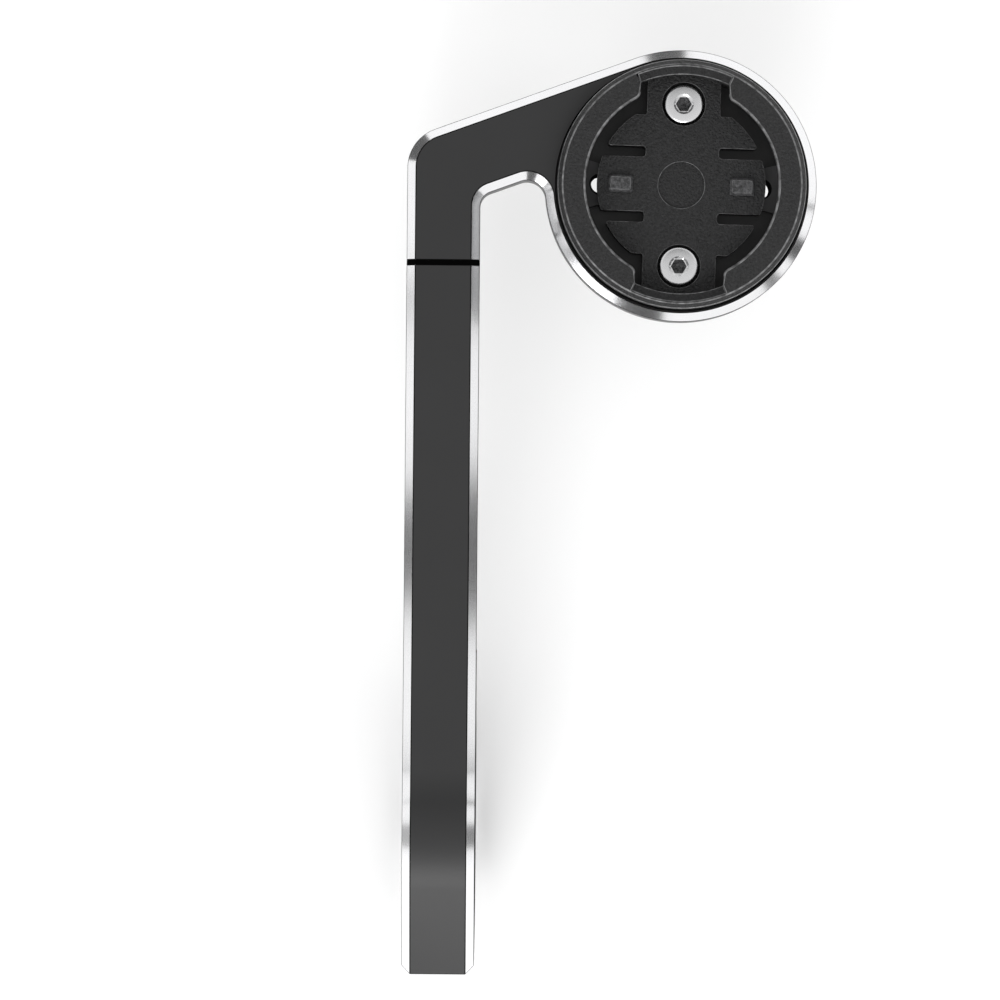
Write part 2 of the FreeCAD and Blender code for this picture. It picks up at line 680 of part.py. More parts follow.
def make_socket():
    body = make_body("quarter_turn_puck")
    ring = make_sketch(body, "ring_profile", "XZ_Plane")
    add_outline(ring, [
        ("lip_rad", LIP_UNDER),
        ("lip_rad", "socket_height"),
        ("socket_rad - socket_bevel", "socket_height"),
        ("socket_rad", "socket_height - socket_bevel"),
        ("socket_rad", "socket_foot"),
        ("socket_rad - socket_foot", "0"),
        (f"{EAR_RAD} + running_gap", "0"),
        (f"{EAR_RAD} + running_gap", LIP_UNDER),
    ])
    revolve(body, "Revolution", "ring", ring)
    spine = make_sketch(body, "spine_outline", "XY_Plane")
    reach = "(socket_rad - ear_wall / 2)"
    add_box_outline(spine, "-spine_width / 2", f"-{reach}", "spine_width / 2", reach)
    pad(body, "spine", spine, "floor_thick")
    plate = make_sketch(body, "floor_outline", "XY_Plane")
    add_floor_outline(plate)
    pad(body, "floor", plate, "floor_thick")
    slots = make_sketch(body, "slot_outlines", "XY_Plane", "floor_thick")
    for side in (-1, 1):
        for row in (-1, 1):
            near = f"{side} * spine_width / 2"
            far = f"{side} * (floor_rad + tongue_slot)"
            low = f"{row} * tongue_width / 2"
            high = f"{row} * (tongue_width / 2 + tongue_slot)"
            add_outline(slots, [(near, low, "slot_corner"), (far, low), (far, high), (near, high, "slot_corner")])
    pocket(body, "tongue_slots", slots, "2 * floor_thick")
    for side in (-1, 1):
        bump = make_sketch(body, f"bump_outline_{side + 1}", "XY_Plane", "floor_thick")
        near = f"{side} * bump_start"
        far = f"{side} * (bump_start + bump_length)"
        add_box_outline(bump, near, "-bump_width / 2", far, "bump_width / 2")
        pad(body, f"bump_{side + 1}", bump, "bump_height")
    bump_top = size("floor_thick + bump_height")
    bump_side = size("bump_width / 2")
    dress_edges(body, "Chamfer", "bump_ramps",
                lambda edge, middle: same(middle.z, bump_top) and same(abs(middle.y), bump_side),
                "bump_ramp")
    ears = make_sketch(body, "ear_outline", "XY_Plane", "socket_height")
    add_ear_outline(ears)
    pocket(body, "ear_entries", ears, "lip_thick")

    lip_low = size(LIP_UNDER)
    lip_high = size("socket_height")
    lip_inner = size("lip_rad")
    lip_outer = size(EAR_RAD)

    def lip_corner(edge, middle):
        upright = lip_low < middle.z < lip_high and same(middle.z, (lip_low + lip_high) / 2)
        return upright and same(math.hypot(middle.x, middle.y), lip_inner)

    def lip_rim(edge, middle):
        return same(middle.z, lip_high) and math.hypot(middle.x, middle.y) < lip_outer - 0.01

    dress_edges(body, "Fillet", "lip_corners", lip_corner, "lip_corner")
    dress_edges(body, "Chamfer", "lip_rims", lip_rim, "lip_edge")
    lead = make_sketch(body, "lead_profile", "YZ_Plane")
    add_outline(lead, [
        (f"{EAR_RAD} - cut_over", "socket_height + cut_over"),
        (f"{EAR_RAD} - cut_over", "socket_height - ear_lead_drop * (1 + cut_over / ear_lead)"),
        (f"{EAR_LEAD_RAD} + cut_over", "socket_height + cut_over * ear_lead_drop / ear_lead"),
        (f"{EAR_LEAD_RAD} + cut_over", "socket_height + cut_over"),
    ])
    groove = revolve(body, "Groove", "ear_lead", lead, 2 * math.degrees(math.asin(
        size("ear_width / 2") / size(EAR_RAD))))
    copy_round(body, "ear_leads", groove, 2)
    centre = make_sketch(body, "centre_circle", "XY_Plane", "floor_thick")
    add_circle(centre, "0", "0", "centre_rad")
    pocket(body, "centre_dish", centre, "centre_depth")
    seats = make_sketch(body, "screw_seat_circles", "XY_Plane", "socket_height")
    holes = make_sketch(body, "screw_hole_circles", "XY_Plane", "floor_thick")
    for side in (-1, 1):
        add_circle(seats, "0", f"{side} * screw_pitch_rad", "screw_seat_dia / 2")
        add_circle(holes, "0", f"{side} * screw_pitch_rad", "small_hole_dia / 2")
    pocket(body, "screw_seats", seats, f"socket_height - {SCREW_SEAT}")
    pocket(body, "screw_holes", holes, "2 * floor_thick")
    return body


def add_floor_outline(sketch):
    """A disc flattened front and back, which carries the two spring tongues."""
    radius = size("floor_rad")
    half = size("floor_half_depth")
    reach = math.sqrt(radius ** 2 - half ** 2)
    origin = Vector(0, 0, 0)
    right_low = Vector(reach, -half, 0)
    right_high = Vector(reach, half, 0)
    left_high = Vector(-reach, half, 0)
    left_low = Vector(-reach, -half, 0)
    right, right_in, right_out = add_arc(sketch, origin, radius, right_low, right_high, True)
    left, left_in, left_out = add_arc(sketch, origin, radius, left_high, left_low, True)
    front = sketch.addGeometry(Part.LineSegment(right_high, left_high), False)
    back = sketch.addGeometry(Part.LineSegment(left_low, right_low), False)
    for first, first_end, second, second_end in (
        (right, right_out, front, 1), (front, 2, left, left_in), (left, left_out, back, 1), (back, 2, right, right_in),
    ):
        sketch.addConstraint(Sketcher.Constraint("Coincident", first, first_end, second, second_end))
    for arc in (right, left):
        sketch.addConstraint(Sketcher.Constraint("Coincident", arc, 3, -1, 1))
        set_datum(sketch, Sketcher.Constraint("Radius", arc, radius), "floor_rad")
    sketch.addConstraint(Sketcher.Constraint("Horizontal", front))
    sketch.addConstraint(Sketcher.Constraint("Horizontal", back))
    for line, expression in ((front, "floor_half_depth"), (back, "-floor_half_depth")):
        constraint = Sketcher.Constraint("DistanceY", -1, 1, line, 1, size(expression))
        set_datum(sketch, constraint, expression)


def add_ear_outline(sketch):
    """The two entries for the device's ears: a band across the socket with round ends."""
    radius = size(EAR_RAD)
    half = size("ear_width / 2")
    reach = math.sqrt(radius ** 2 - half ** 2)
    origin = Vector(0, 0, 0)
    right_low = Vector(half, -reach, 0)
    right_high = Vector(half, reach, 0)
    left_high = Vector(-half, reach, 0)
    left_low = Vector(-half, -reach, 0)
    front, front_in, front_out = add_arc(sketch, origin, radius, right_high, left_high, True)
    back, back_in, back_out = add_arc(sketch, origin, radius, left_low, right_low, True)
    right = sketch.addGeometry(Part.LineSegment(right_low, right_high), False)
    left = sketch.addGeometry(Part.LineSegment(left_high, left_low), False)
    for first, first_end, second, second_end in (
        (right, 2, front, front_in), (front, front_out, left, 1), (left, 2, back, back_in), (back, back_out, right, 1),
    ):
        sketch.addConstraint(Sketcher.Constraint("Coincident", first, first_end, second, second_end))
    for arc in (front, back):
        sketch.addConstraint(Sketcher.Constraint("Coincident", arc, 3, -1, 1))
        set_datum(sketch, Sketcher.Constraint("Radius", arc, radius), EAR_RAD)
    sketch.addConstraint(Sketcher.Constraint("Vertical", right))
    sketch.addConstraint(Sketcher.Constraint("Vertical", left))
    for line, expression in ((right, "ear_width / 2"), (left, "-ear_width / 2")):
        constraint = Sketcher.Constraint("DistanceX", -1, 1, line, 1, size(expression))
        set_datum(sketch, constraint, expression)


about_x = Vector(1, 0, 0)
about_z = Vector(0, 0, 1)
face_down = FreeCAD.Rotation(about_x, 180)
face_forward = FreeCAD.Rotation(about_x, -90)
socket_turned = FreeCAD.Rotation(about_z, size("socket_turn"))

bodies = [make_main_arm(), make_clamp_strap(), make_hinge_pin(), make_gasket(), make_head_arm()]
bodies.append(make_clamp_pad("clamp_pad_upper", "pad_end_angle", f"180 - pad_end_angle - {NOTCH_ANGLE}"))
bodies.append(make_clamp_pad("clamp_pad_lower", "-180 + pad_end_angle", "180 - 2.2 * pad_end_angle"))

clamp_bolt = make_cap_screw("clamp_bolt", "bolt_thread_dia", "bolt_shank_length", "bolt_head_dia",
                            "bolt_head_height", "bolt_key_width")
put(clamp_bolt, "0", "bolt_reach", f"{FLANGE_BOTTOM} - bolt_washer_thick", face_down)
clamp_washer = make_washer("clamp_washer", "bolt_washer_dia", "bolt_hole_dia", "bolt_washer_thick")
put(clamp_washer, "0", "bolt_reach", FLANGE_BOTTOM, face_down)

swivel_screw = make_cap_screw("swivel_screw", "small_thread_dia", "swivel_shank_length", "small_head_dia",
                              "swivel_head_height", "small_key_width")
put(swivel_screw, "0", SWIVEL_HEAD_Y, ARM_MID, face_forward)
swivel_washer = make_washer("swivel_washer", "small_head_dia", "small_hole_dia", "swivel_washer_thick")
put(swivel_washer, "0", f"{SWIVEL_SEAT_Y} + running_gap", ARM_MID, face_forward)

socket = make_socket()
put(socket, "head_side", HEAD_Y, POCKET_FLOOR, socket_turned)
bodies += [clamp_bolt, clamp_washer, swivel_screw, swivel_washer, socket]
for place, side in (("front", 1), ("rear", -1)):
    screw = make_cap_screw(f"puck_screw_{place}", "small_thread_dia", "screw_shank_length", "small_head_dia",
                           "screw_head_height", "screw_key_width")
    put(screw, f"head_side - {side} * screw_pitch_rad * sin(socket_turn)",
        f"{HEAD_Y} + {side} * screw_pitch_rad * cos(socket_turn)", f"{POCKET_FLOOR} + {SCREW_SEAT}",
        socket_turned)
    bodies.append(screw)

doc.recompute()
for item in doc.Objects:
    if "Invalid" in item.State or "Error" in item.State:
        raise RuntimeError(f"{item.Label} failed: {item.State}")
for body in bodies:
    if body.Shape.isNull() or not body.Shape.isValid():
        raise RuntimeError(f"{body.Label} has no valid shape")

os.makedirs("parts", exist_ok=True)
for body in bodies:
    body.Shape.exportStep(f"parts/{body.Label}.step")
    box = body.Shape.BoundBox
    print(f"{body.Label}: {len(body.Shape.Solids)} solid, {body.Shape.Volume:.1f} mm3,"
          f" y {box.YMin:.2f} to {box.YMax:.2f}, z {box.ZMin:.2f} to {box.ZMax:.2f}")
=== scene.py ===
import math
import bmesh
import bpy
import numpy as np
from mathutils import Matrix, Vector
from mathutils.geometry import delaunay_2d_cdt


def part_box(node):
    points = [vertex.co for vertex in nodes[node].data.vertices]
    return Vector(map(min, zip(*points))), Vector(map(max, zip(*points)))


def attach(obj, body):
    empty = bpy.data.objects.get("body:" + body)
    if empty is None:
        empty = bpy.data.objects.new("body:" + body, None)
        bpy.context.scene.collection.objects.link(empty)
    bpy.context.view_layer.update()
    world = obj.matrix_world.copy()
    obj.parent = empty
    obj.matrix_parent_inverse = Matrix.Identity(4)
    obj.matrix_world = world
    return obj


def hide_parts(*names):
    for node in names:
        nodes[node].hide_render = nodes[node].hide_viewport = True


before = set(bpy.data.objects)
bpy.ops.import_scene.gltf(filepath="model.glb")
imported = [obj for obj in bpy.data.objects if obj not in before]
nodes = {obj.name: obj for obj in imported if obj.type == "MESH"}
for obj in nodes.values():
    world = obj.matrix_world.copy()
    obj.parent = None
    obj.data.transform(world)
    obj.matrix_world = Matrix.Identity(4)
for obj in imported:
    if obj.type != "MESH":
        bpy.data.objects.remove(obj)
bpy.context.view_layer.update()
mm = 0.001
floorLevel = min(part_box(name)[0][2] for name in nodes)
print("frame loaded:", len(nodes), "pieces")


# Camera

# The photograph looks straight down on the arms, turned a little about its own line of sight.
# Its frame is 1000 x 1000 pixels; the scale holds at the arms' upper face.
view = {
    "aim": (8.547, 48.337),       # mm, what the frame's middle looks at
    "height": 750.0,              # mm above the arms' upper face
    "faceLevel": 19.08,           # mm
    "turn": 0.5025,               # degrees about the line of sight
    "frameWidth": 144.93,         # mm across the frame at the upper face
    "sensor": 36.0,
    "clipStart": 0.01,            # metres
}


def makeCamera():
    # The lens is as long as makes the frame's width at that distance fill the sensor.
    data = bpy.data.cameras.new("camera")
    data.sensor_width = view["sensor"]
    data.lens = view["sensor"] * view["height"] / view["frameWidth"]
    data.clip_start = view["clipStart"]
    camera = bpy.data.objects.new("camera", data)
    bpy.context.scene.collection.objects.link(camera)
    camera.location = (view["aim"][0] * mm, view["aim"][1] * mm, (view["faceLevel"] + view["height"]) * mm)
    camera.rotation_euler = (0, 0, math.radians(view["turn"]))
    bpy.context.scene.camera = camera


makeCamera()


# Node helpers

def newMaterial(name):
    material = bpy.data.materials.new(name)
    material.use_nodes = True
    return material, material.node_tree, principled(material)


def principled(material):
    return next(node for node in material.node_tree.nodes if node.type == "BSDF_PRINCIPLED")


def objectPoint(tree):
    return tree.nodes.new("ShaderNodeTexCoord").outputs["Object"]


def noise(tree, point, scale, roughness):
    node = tree.nodes.new("ShaderNodeTexNoise")
    node.inputs["Scale"].default_value = scale
    node.inputs["Detail"].default_value = noiseShape["detail"]
    node.inputs["Roughness"].default_value = roughness
    tree.links.new(point, node.inputs["Vector"])
    return node.outputs["Fac"]


def ramp(tree, value, low, high, start, end):
    # Straight from low to high while the value goes from start to end, and level outside.
    node = tree.nodes.new("ShaderNodeMapRange")
    node.inputs["From Min"].default_value = start
    node.inputs["From Max"].default_value = end
    node.inputs["To Min"].default_value = low
    node.inputs["To Max"].default_value = high
    tree.links.new(value, node.inputs["Value"])
    return node.outputs["Result"]


def plugIn(tree, socket, value):
    # A socket is linked and a number is set.
    if isinstance(value, bpy.types.NodeSocket):
        tree.links.new(value, socket)
    else:
        socket.default_value = value


def blendColours(tree, factor, first, second):
    node = tree.nodes.new("ShaderNodeMix")
    node.data_type = "RGBA"
    colourA, colourB = (socket for socket in node.inputs if socket.type == "RGBA")
    tree.links.new(factor, node.inputs["Factor"])
    plugIn(tree, colourA, first)
    plugIn(tree, colourB, second)
    return next(socket for socket in node.outputs if socket.type == "RGBA")


def arithmetic(tree, operation, first, second):
    node = tree.nodes.new("ShaderNodeMath")
    node.operation = operation
    plugIn(tree, node.inputs[0], first)
    plugIn(tree, node.inputs[1], second)
    return node.outputs[0]


def bump(tree, height, shader, strength, distance):
    # The shader's normal leans with the height's slope.
    node = tree.nodes.new("ShaderNodeBump")
    node.inputs["Strength"].default_value = strength
    node.inputs["Distance"].default_value = distance
    tree.links.new(height, node.inputs["Height"])
    tree.links.new(node.outputs["Normal"], shader.inputs["Normal"])


# Materials

noiseShape = {
    "detail": 3.0,
    "grainRoughness": 0.6,
    "cloudRoughness": 0.5,
    "range": (0.3, 0.7),          # the noise values that reach the two ends of a blend
}


def grainyMaterial(name, look):
    # Fine grain in the height and the roughness, slower clouds in the colour.
    material, tree, shader = newMaterial(name)
    point = objectPoint(tree)
    fine = noise(tree, point, look["grainPerMetre"], noiseShape["grainRoughness"])
    slow = noise(tree, point, look["cloudPerMetre"], noiseShape["cloudRoughness"])
    dark = (*(channel * (1 - look["cloud"]) for channel in look["colour"]), 1.0)
    light = (*(channel * (1 + look["cloud"]) for channel in look["colour"]), 1.0)
    clouds = blendColours(tree, ramp(tree, slow, 0.0, 1.0, *noiseShape["range"]), dark, light)
    tree.links.new(clouds, shader.inputs["Base Color"])
    smooth = look["roughness"] - look["roughSpread"]
    dull = look["roughness"] + look["roughSpread"]
    tree.links.new(ramp(tree, fine, smooth, dull, *noiseShape["range"]), shader.inputs["Roughness"])
    shader.inputs["Metallic"].default_value = look["metallic"]
    shader.inputs["Specular IOR Level"].default_value = look["gloss"]
    bump(tree, fine, shader, look["grainStrength"], look["grainDepth"])
    return material


blackLook = {
    "colour": (0.017, 0.017, 0.0175), "cloud": 0.06, "cloudPerMetre": 60.0, "metallic": 0.0, "gloss": 0.5,
    "roughness": 0.40, "roughSpread": 0.04,
    "grainPerMetre": 9000.0, "grainStrength": 0.35, "grainDepth": 0.00003,
}
blackAnodised = grainyMaterial("black_anodised", blackLook)
# Painted shade: the broken edges are darker and duller than the black anodising, to draw a dark line along
# the arms' edges.
anodisedEdgePaintedShade = grainyMaterial("black_anodised_edge_painted_shade", {
    **blackLook, "colour": (0.003, 0.003, 0.003), "gloss": 0.1, "roughness": 0.60,
    "grainStrength": 0.2, "grainDepth": 0.00002,
})
brightCut = grainyMaterial("bright_cut_edge", {
    "colour": (0.88, 0.88, 0.89), "cloud": 0.02, "cloudPerMetre": 90.0, "metallic": 1.0, "gloss": 0.5,
    "roughness": 0.17, "roughSpread": 0.01,
    "grainPerMetre": 6000.0, "grainStrength": 0.03, "grainDepth": 0.00001,
})
mouldedPlastic = grainyMaterial("moulded_plastic", {
    "colour": (0.012, 0.012, 0.0125), "cloud": 0.55, "cloudPerMetre": 2600.0, "metallic": 0.0, "gloss": 0.45,
    "roughness": 0.46, "roughSpread": 0.14,
    "grainPerMetre": 3000.0, "grainStrength": 1.0, "grainDepth": 0.0004,
})
roughPlastic = grainyMaterial("moulded_plastic_rough", {
    "colour": (0.056, 0.056, 0.058), "cloud": 0.75, "cloudPerMetre": 2400.0, "metallic": 0.0, "gloss": 0.5,
    "roughness": 0.60, "roughSpread": 0.08,
    "grainPerMetre": 2800.0, "grainStrength": 1.0, "grainDepth": 0.0004,
})
stainless = grainyMaterial("stainless_steel", {
    "colour": (0.80, 0.80, 0.81), "cloud": 0.04, "cloudPerMetre": 300.0, "metallic": 1.0, "gloss": 0.5,
    "roughness": 0.27, "roughSpread": 0.05,
    "grainPerMetre": 5000.0, "grainStrength": 0.08, "grainDepth": 0.00003,
})
# Painted shade: the key socket's steel is darker than the rest of the screw, for the shade inside the hexagon
# hole; its rougher grain is its own.
keySocketPaintedShade = grainyMaterial("key_socket", {
    "colour": (0.20, 0.20, 0.205), "cloud": 0.55, "cloudPerMetre": 2600.0, "metallic": 1.0, "gloss": 0.5,
    "roughness": 0.48, "roughSpread": 0.12,
    "grainPerMetre": 3000.0, "grainStrength": 1.0, "grainDepth": 0.0004,
})
# Painted highlight: the puck's broken edges are much lighter than its plastic, for the bright lines that
# light draws along them; their smoother, glossier surface is their own.
plasticEdgeHighlight = grainyMaterial("moulded_plastic_edge_painted_highlight", {
    "colour": (0.110, 0.110, 0.112), "cloud": 0.8, "cloudPerMetre": 1100.0, "metallic": 0.0, "gloss": 0.8,
    "roughness": 0.34, "roughSpread": 0.08,
    "grainPerMetre": 3000.0, "grainStrength": 0.6, "grainDepth": 0.0002,
})
threadShade = grainyMaterial("thread_shade", {
    "colour": (0.006, 0.006, 0.006), "cloud": 0.20, "cloudPerMetre": 900.0, "metallic": 0.0, "gloss": 0.2,
    "roughness": 0.55, "roughSpread": 0.06,
    "grainPerMetre": 4000.0, "grainStrength": 0.4, "grainDepth": 0.00005,
})
liningRubber = grainyMaterial("lining_rubber", {
    "colour": (0.014, 0.014, 0.015), "cloud": 0.10, "cloudPerMetre": 200.0, "metallic": 0.0, "gloss": 0.3,
    "roughness": 0.75, "roughSpread": 0.06,
    "grainPerMetre": 2500.0, "grainStrength": 0.4, "grainDepth": 0.00008,
})
gasketRubber = grainyMaterial("gasket_rubber", {
    "colour": (0.0008, 0.0008, 0.0008), "cloud": 0.10, "cloudPerMetre": 300.0, "metallic": 0.0, "gloss": 0.02,
    "roughness": 0.85, "roughSpread": 0.04,
    "grainPerMetre": 2500.0, "grainStrength": 0.3, "grainDepth": 0.00005,
})
# Painted light: the pocket floor's black is made lighter than the arm's, to make up for the shade that the
# puck's lips cast into the pocket.
pocketFloorPaintedLight = grainyMaterial("black_anodised_pocket_painted_light", {
    **blackLook, "colour": (0.060, 0.060, 0.062), "roughness": 0.45,
})
strapBlack = grainyMaterial("black_anodised_strap", blackLook)
strapCut = {
    "lean": (0.35, 0.93),         # sideways part of the normal, between which the black is cut away
    "colour": (0.88, 0.88, 0.89),
    "smoother": 0.21,             # taken off the black's roughness
}


def cutChamfers(material, cut):
    # Bright metal where the surface leans: the sideways part of its own normal lies between two values.
    tree = material.node_tree
    shader = principled(material)
    parts = tree.nodes.new("ShaderNodeSeparateXYZ")
    tree.links.new(tree.nodes.new("ShaderNodeTexCoord").outputs["Normal"], parts.inputs["Vector"])
    sideways = arithmetic(tree, "ABSOLUTE", parts.outputs["X"], 0.0)
    above = arithmetic(tree, "GREATER_THAN", sideways, cut["lean"][0])
    below = arithmetic(tree, "LESS_THAN", sideways, cut["lean"][1])
    leaning = arithmetic(tree, "MULTIPLY", above, below)
    black = shader.inputs["Base Color"].links[0].from_socket
    dull = shader.inputs["Roughness"].links[0].from_socket
    tree.links.new(blendColours(tree, leaning, black, (*cut["colour"], 1.0)), shader.inputs["Base Color"])
    tree.links.new(leaning, shader.inputs["Metallic"])
    shine = arithmetic(tree, "SUBTRACT", dull, arithmetic(tree, "MULTIPLY", leaning, cut["smoother"]))
    tree.links.new(shine, shader.inputs["Roughness"])


cutChamfers(strapBlack, strapCut)
print("materials made")


# Surfaces, worked out in numpy in millimetres

weldReach = 0.002                 # mm, points nearer than this become one
tiny = 1e-6                       # mm, a length that counts as none
bevelSegments = 2
noneSpared = (0, 0, 0, 0, 1)      # weighEdges then breaks every sharp edge by the whole width


def newShell():
    return {"points": [], "faces": [], "slots": [], "count": 0}


def addPoints(shell, points):
    # Keeps the points and gives the first one's number.
    first = shell["count"]
    shell["points"].append(np.asarray(points, float))
    shell["count"] += len(points)
    return first


def addRings(shell, rings, slot, skip=()):
    # A quad between each point, its neighbour along the closed ring and the same two on the next ring.
    rings = np.asarray(rings, float)
    rows, columns = rings.shape[:2]
    index = addPoints(shell, rings.reshape(-1, 3)) + np.arange(rows * columns).reshape(rows, columns)
    after = np.roll(index, -1, axis=1)
    kept = np.setdiff1d(np.arange(columns), np.array(skip, int))
    quads = np.stack((index[:-1], after[:-1], after[1:], index[1:]), axis=-1)[:, kept].reshape(-1, 4)
    shell["faces"] += quads.tolist()
    shell["slots"] += [slot] * len(quads)


def addWall(shell, outline, axis, levels, slot, skip=()):
    # The outline carried straight along the axis, through each of the levels.
    addRings(shell, [np.insert(outline, axis, level, axis=1) for level in levels], slot, skip)


def insideLoops(points, loops):
    # Even-odd rule: a point is inside where a line from it to the right crosses the loops
    # an odd number of times.
    crossings = np.zeros(len(points), int)
    for loop in loops:
        ahead = np.roll(loop, -1, axis=0)
        rise = ahead[:, 1] - loop[:, 1]
        share = (points[:, 1, None] - loop[:, 1]) / np.where(rise == 0, 1, rise)
        spans = (loop[:, 1] > points[:, 1, None]) != (ahead[:, 1] > points[:, 1, None])
        met = loop[:, 0] + share * (ahead[:, 0] - loop[:, 0])
        crossings += (spans & (points[:, 0, None] < met)).sum(axis=1)
    return crossings % 2 == 1


def addFlat(shell, outline, holes, lift, slot):
    # The flat face inside the outline and outside the holes, lifted into space by the given function.
    loops = [np.asarray(outline, float), *holes]
    points = np.concatenate(loops)
    edges = []
    for loop in loops:
        along = len(edges) + np.arange(len(loop))
        edges += np.column_stack((along, np.roll(along, -1))).tolist()
    flat, _, faces, *_ = delaunay_2d_cdt([Vector(point) for point in points], edges, [], 1, tiny)
    flat = np.array([tuple(point) for point in flat])
    faces = np.array(faces)
    faces = faces[insideLoops(flat[faces].mean(axis=1), loops)]
    first = addPoints(shell, lift(flat))
    shell["faces"] += (faces + first).tolist()
    shell["slots"] += [slot] * len(faces)


def onPlane(axis, level):
    # Lifts points of a flat face to a plane across the axis.
    def lift(points):
        return np.insert(points, axis, level, axis=1)
    return lift


def arc(centre, radius, start, end, count):
    # Points from the start to the end angle, in degrees.
    angle = np.radians(np.linspace(start, end, count))
    return np.asarray(centre) + radius * np.column_stack((np.cos(angle), np.sin(angle)))


def circle(centre, radius, count=64):
    # A whole turn without its last point, which is its first.
    return arc(centre, radius, 0.0, 360.0, count + 1)[:-1]


def bearing(way):
    # The angle of a direction in degrees, against the clock from the first axis.
    return math.degrees(math.atan2(way[1], way[0]))


def weighEdges(mesh, spared):
    # Every sharp edge is broken, and those inside the given circle (x, y, radius) and below its level
    # by a share of the width.
    x, y, radius, level, share = spared
    points = np.empty(len(mesh.vertices) * 3)
    mesh.vertices.foreach_get("co", points)
    ends = np.empty(len(mesh.edges) * 2, dtype=np.int32)
    mesh.edges.foreach_get("vertices", ends)
    sharpness = np.empty(len(mesh.edges), dtype=bool)
    mesh.attributes["sharp_edge"].data.foreach_get("value", sharpness)
    middles = points.reshape(-1, 3)[ends.reshape(-1, 2)].mean(axis=1) / mm
    inside = (np.hypot(middles[:, 0] - x, middles[:, 1] - y) < radius) & (middles[:, 2] < level)
    weights = np.where(sharpness, np.where(inside, share, 1.0), 0.0)
    mesh.attributes.new("bevel_weight_edge", "FLOAT", "EDGE").data.foreach_set("value", weights)


def breakEdges(piece, width, edgeSlot):
    # A narrow bevel along the weighted edges, in a material slot of its own.
    modifier = piece.modifiers.new("edges", "BEVEL")
    modifier.width = width * mm
    modifier.segments = bevelSegments
    modifier.limit_method = "WEIGHT"
    modifier.harden_normals = True
    modifier.use_clamp_overlap = False
    modifier.material = edgeSlot


def finishPiece(name, shell, materials, body, replaced,
                bevel=0.0, sharp=28, edgeSlot=-1, spared=noneSpared):
    # The shell as one closed mesh with its normals outwards, in the place of the CAD node.
    mesh = bpy.data.meshes.new(name)
    mesh.from_pydata((np.concatenate(shell["points"]) * mm).tolist(), [], shell["faces"])
    mesh.polygons.foreach_set("material_index", np.array(shell["slots"], dtype=np.int32))
    welded = bmesh.new()
    welded.from_mesh(mesh)
    bmesh.ops.remove_doubles(welded, verts=welded.verts, dist=weldReach * mm)
    bmesh.ops.recalc_face_normals(welded, faces=welded.faces)
    welded.to_mesh(mesh)
    welded.free()
    for material in materials:
        mesh.materials.append(material)
    mesh.shade_smooth()
    mesh.set_sharp_from_angle(angle=math.radians(sharp))
    weighEdges(mesh, spared)
    piece = bpy.data.objects.new(name, mesh)
    bpy.context.scene.collection.objects.link(piece)
    if bevel:
        breakEdges(piece, bevel, edgeSlot)
    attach(piece, body)
    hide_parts(replaced)


def crossing(first, second):
    # Where two lines meet, each given as its normal and its distance from the origin.
    return np.linalg.solve(np.array([first[0], second[0]]), np.array([first[1], second[1]]))


def shorterTurn(start, end):
    # From one angle to the other in degrees, the shorter way round.
    return (end - start + 180) % 360 - 180


def roundedPath(sides, corners, inset):
    # Each side is a line (direction it faces in degrees, distance, whether it moves in by the inset).
    # Each corner between two sides is an arc (radius, 1 outward or -1 inward or 0 sharp, points).
    lines = []
    for facing, distance, moves in sides:
        normal = np.array([math.cos(math.radians(facing)), math.sin(math.radians(facing))])
        lines.append((normal, distance - inset * moves))
    path = []
    for (radius, bulge, count), first, second in zip(corners, lines[:-1], lines[1:]):
        if not bulge:
            path.append(crossing(first, second)[None])
            continue
        reach = radius - inset * bulge
        centre = crossing((first[0], first[1] - reach * bulge), (second[0], second[1] - reach * bulge))
        start = bearing(first[0] * bulge)
        turn = shorterTurn(start, bearing(second[0] * bulge))
        path.append(arc(centre, reach, start, start + turn, count))
    return np.concatenate(path)


# Long arm: a bar with a hump that is the handlebar clamp's upper half

longArm = {
    "halfWidth": 5.3,
    "brightCut": 1.25,            # both legs of the bright cut along the outline
    "end": 82.35,
    "top": 19.08,
    "bottom": 10.58,
    "bore": 16.4,
    "crest": 20.1,
    "humpSlope": 12.9,
    "humpBlend": 20.0,
    "rearSlope": 24.4,
    "rear": 21.1,
    "rearCorner": 2.4,
    "rearFoot": -0.05,
    "bossFront": 27.0,
    "bossFoot": -0.75,
    "bossCorner": 2.0,
    "bossBlend": 4.0,
    "notchHalf": 2.3,
    "notchTop": 5.0,
    "notchFront": -16.05,
    "pin": (-18.7, 2.35, 1.0),    # y, z, radius
    "boltHole": (22.0, 2.0, 8.4), # y, radius, depth
    "screwHole": (14.83, 1.5, 12.0),    # z, radius, depth
    "edge": 0.10,
    # points along each arc
    "counts": {
        "bossCorner": 12, "bossBlend": 16, "humpBlend": 24, "crest": 48, "rearCorner": 14,
        "notch": 8, "bore": 96, "rise": 10, "pin": 40,
    },
}


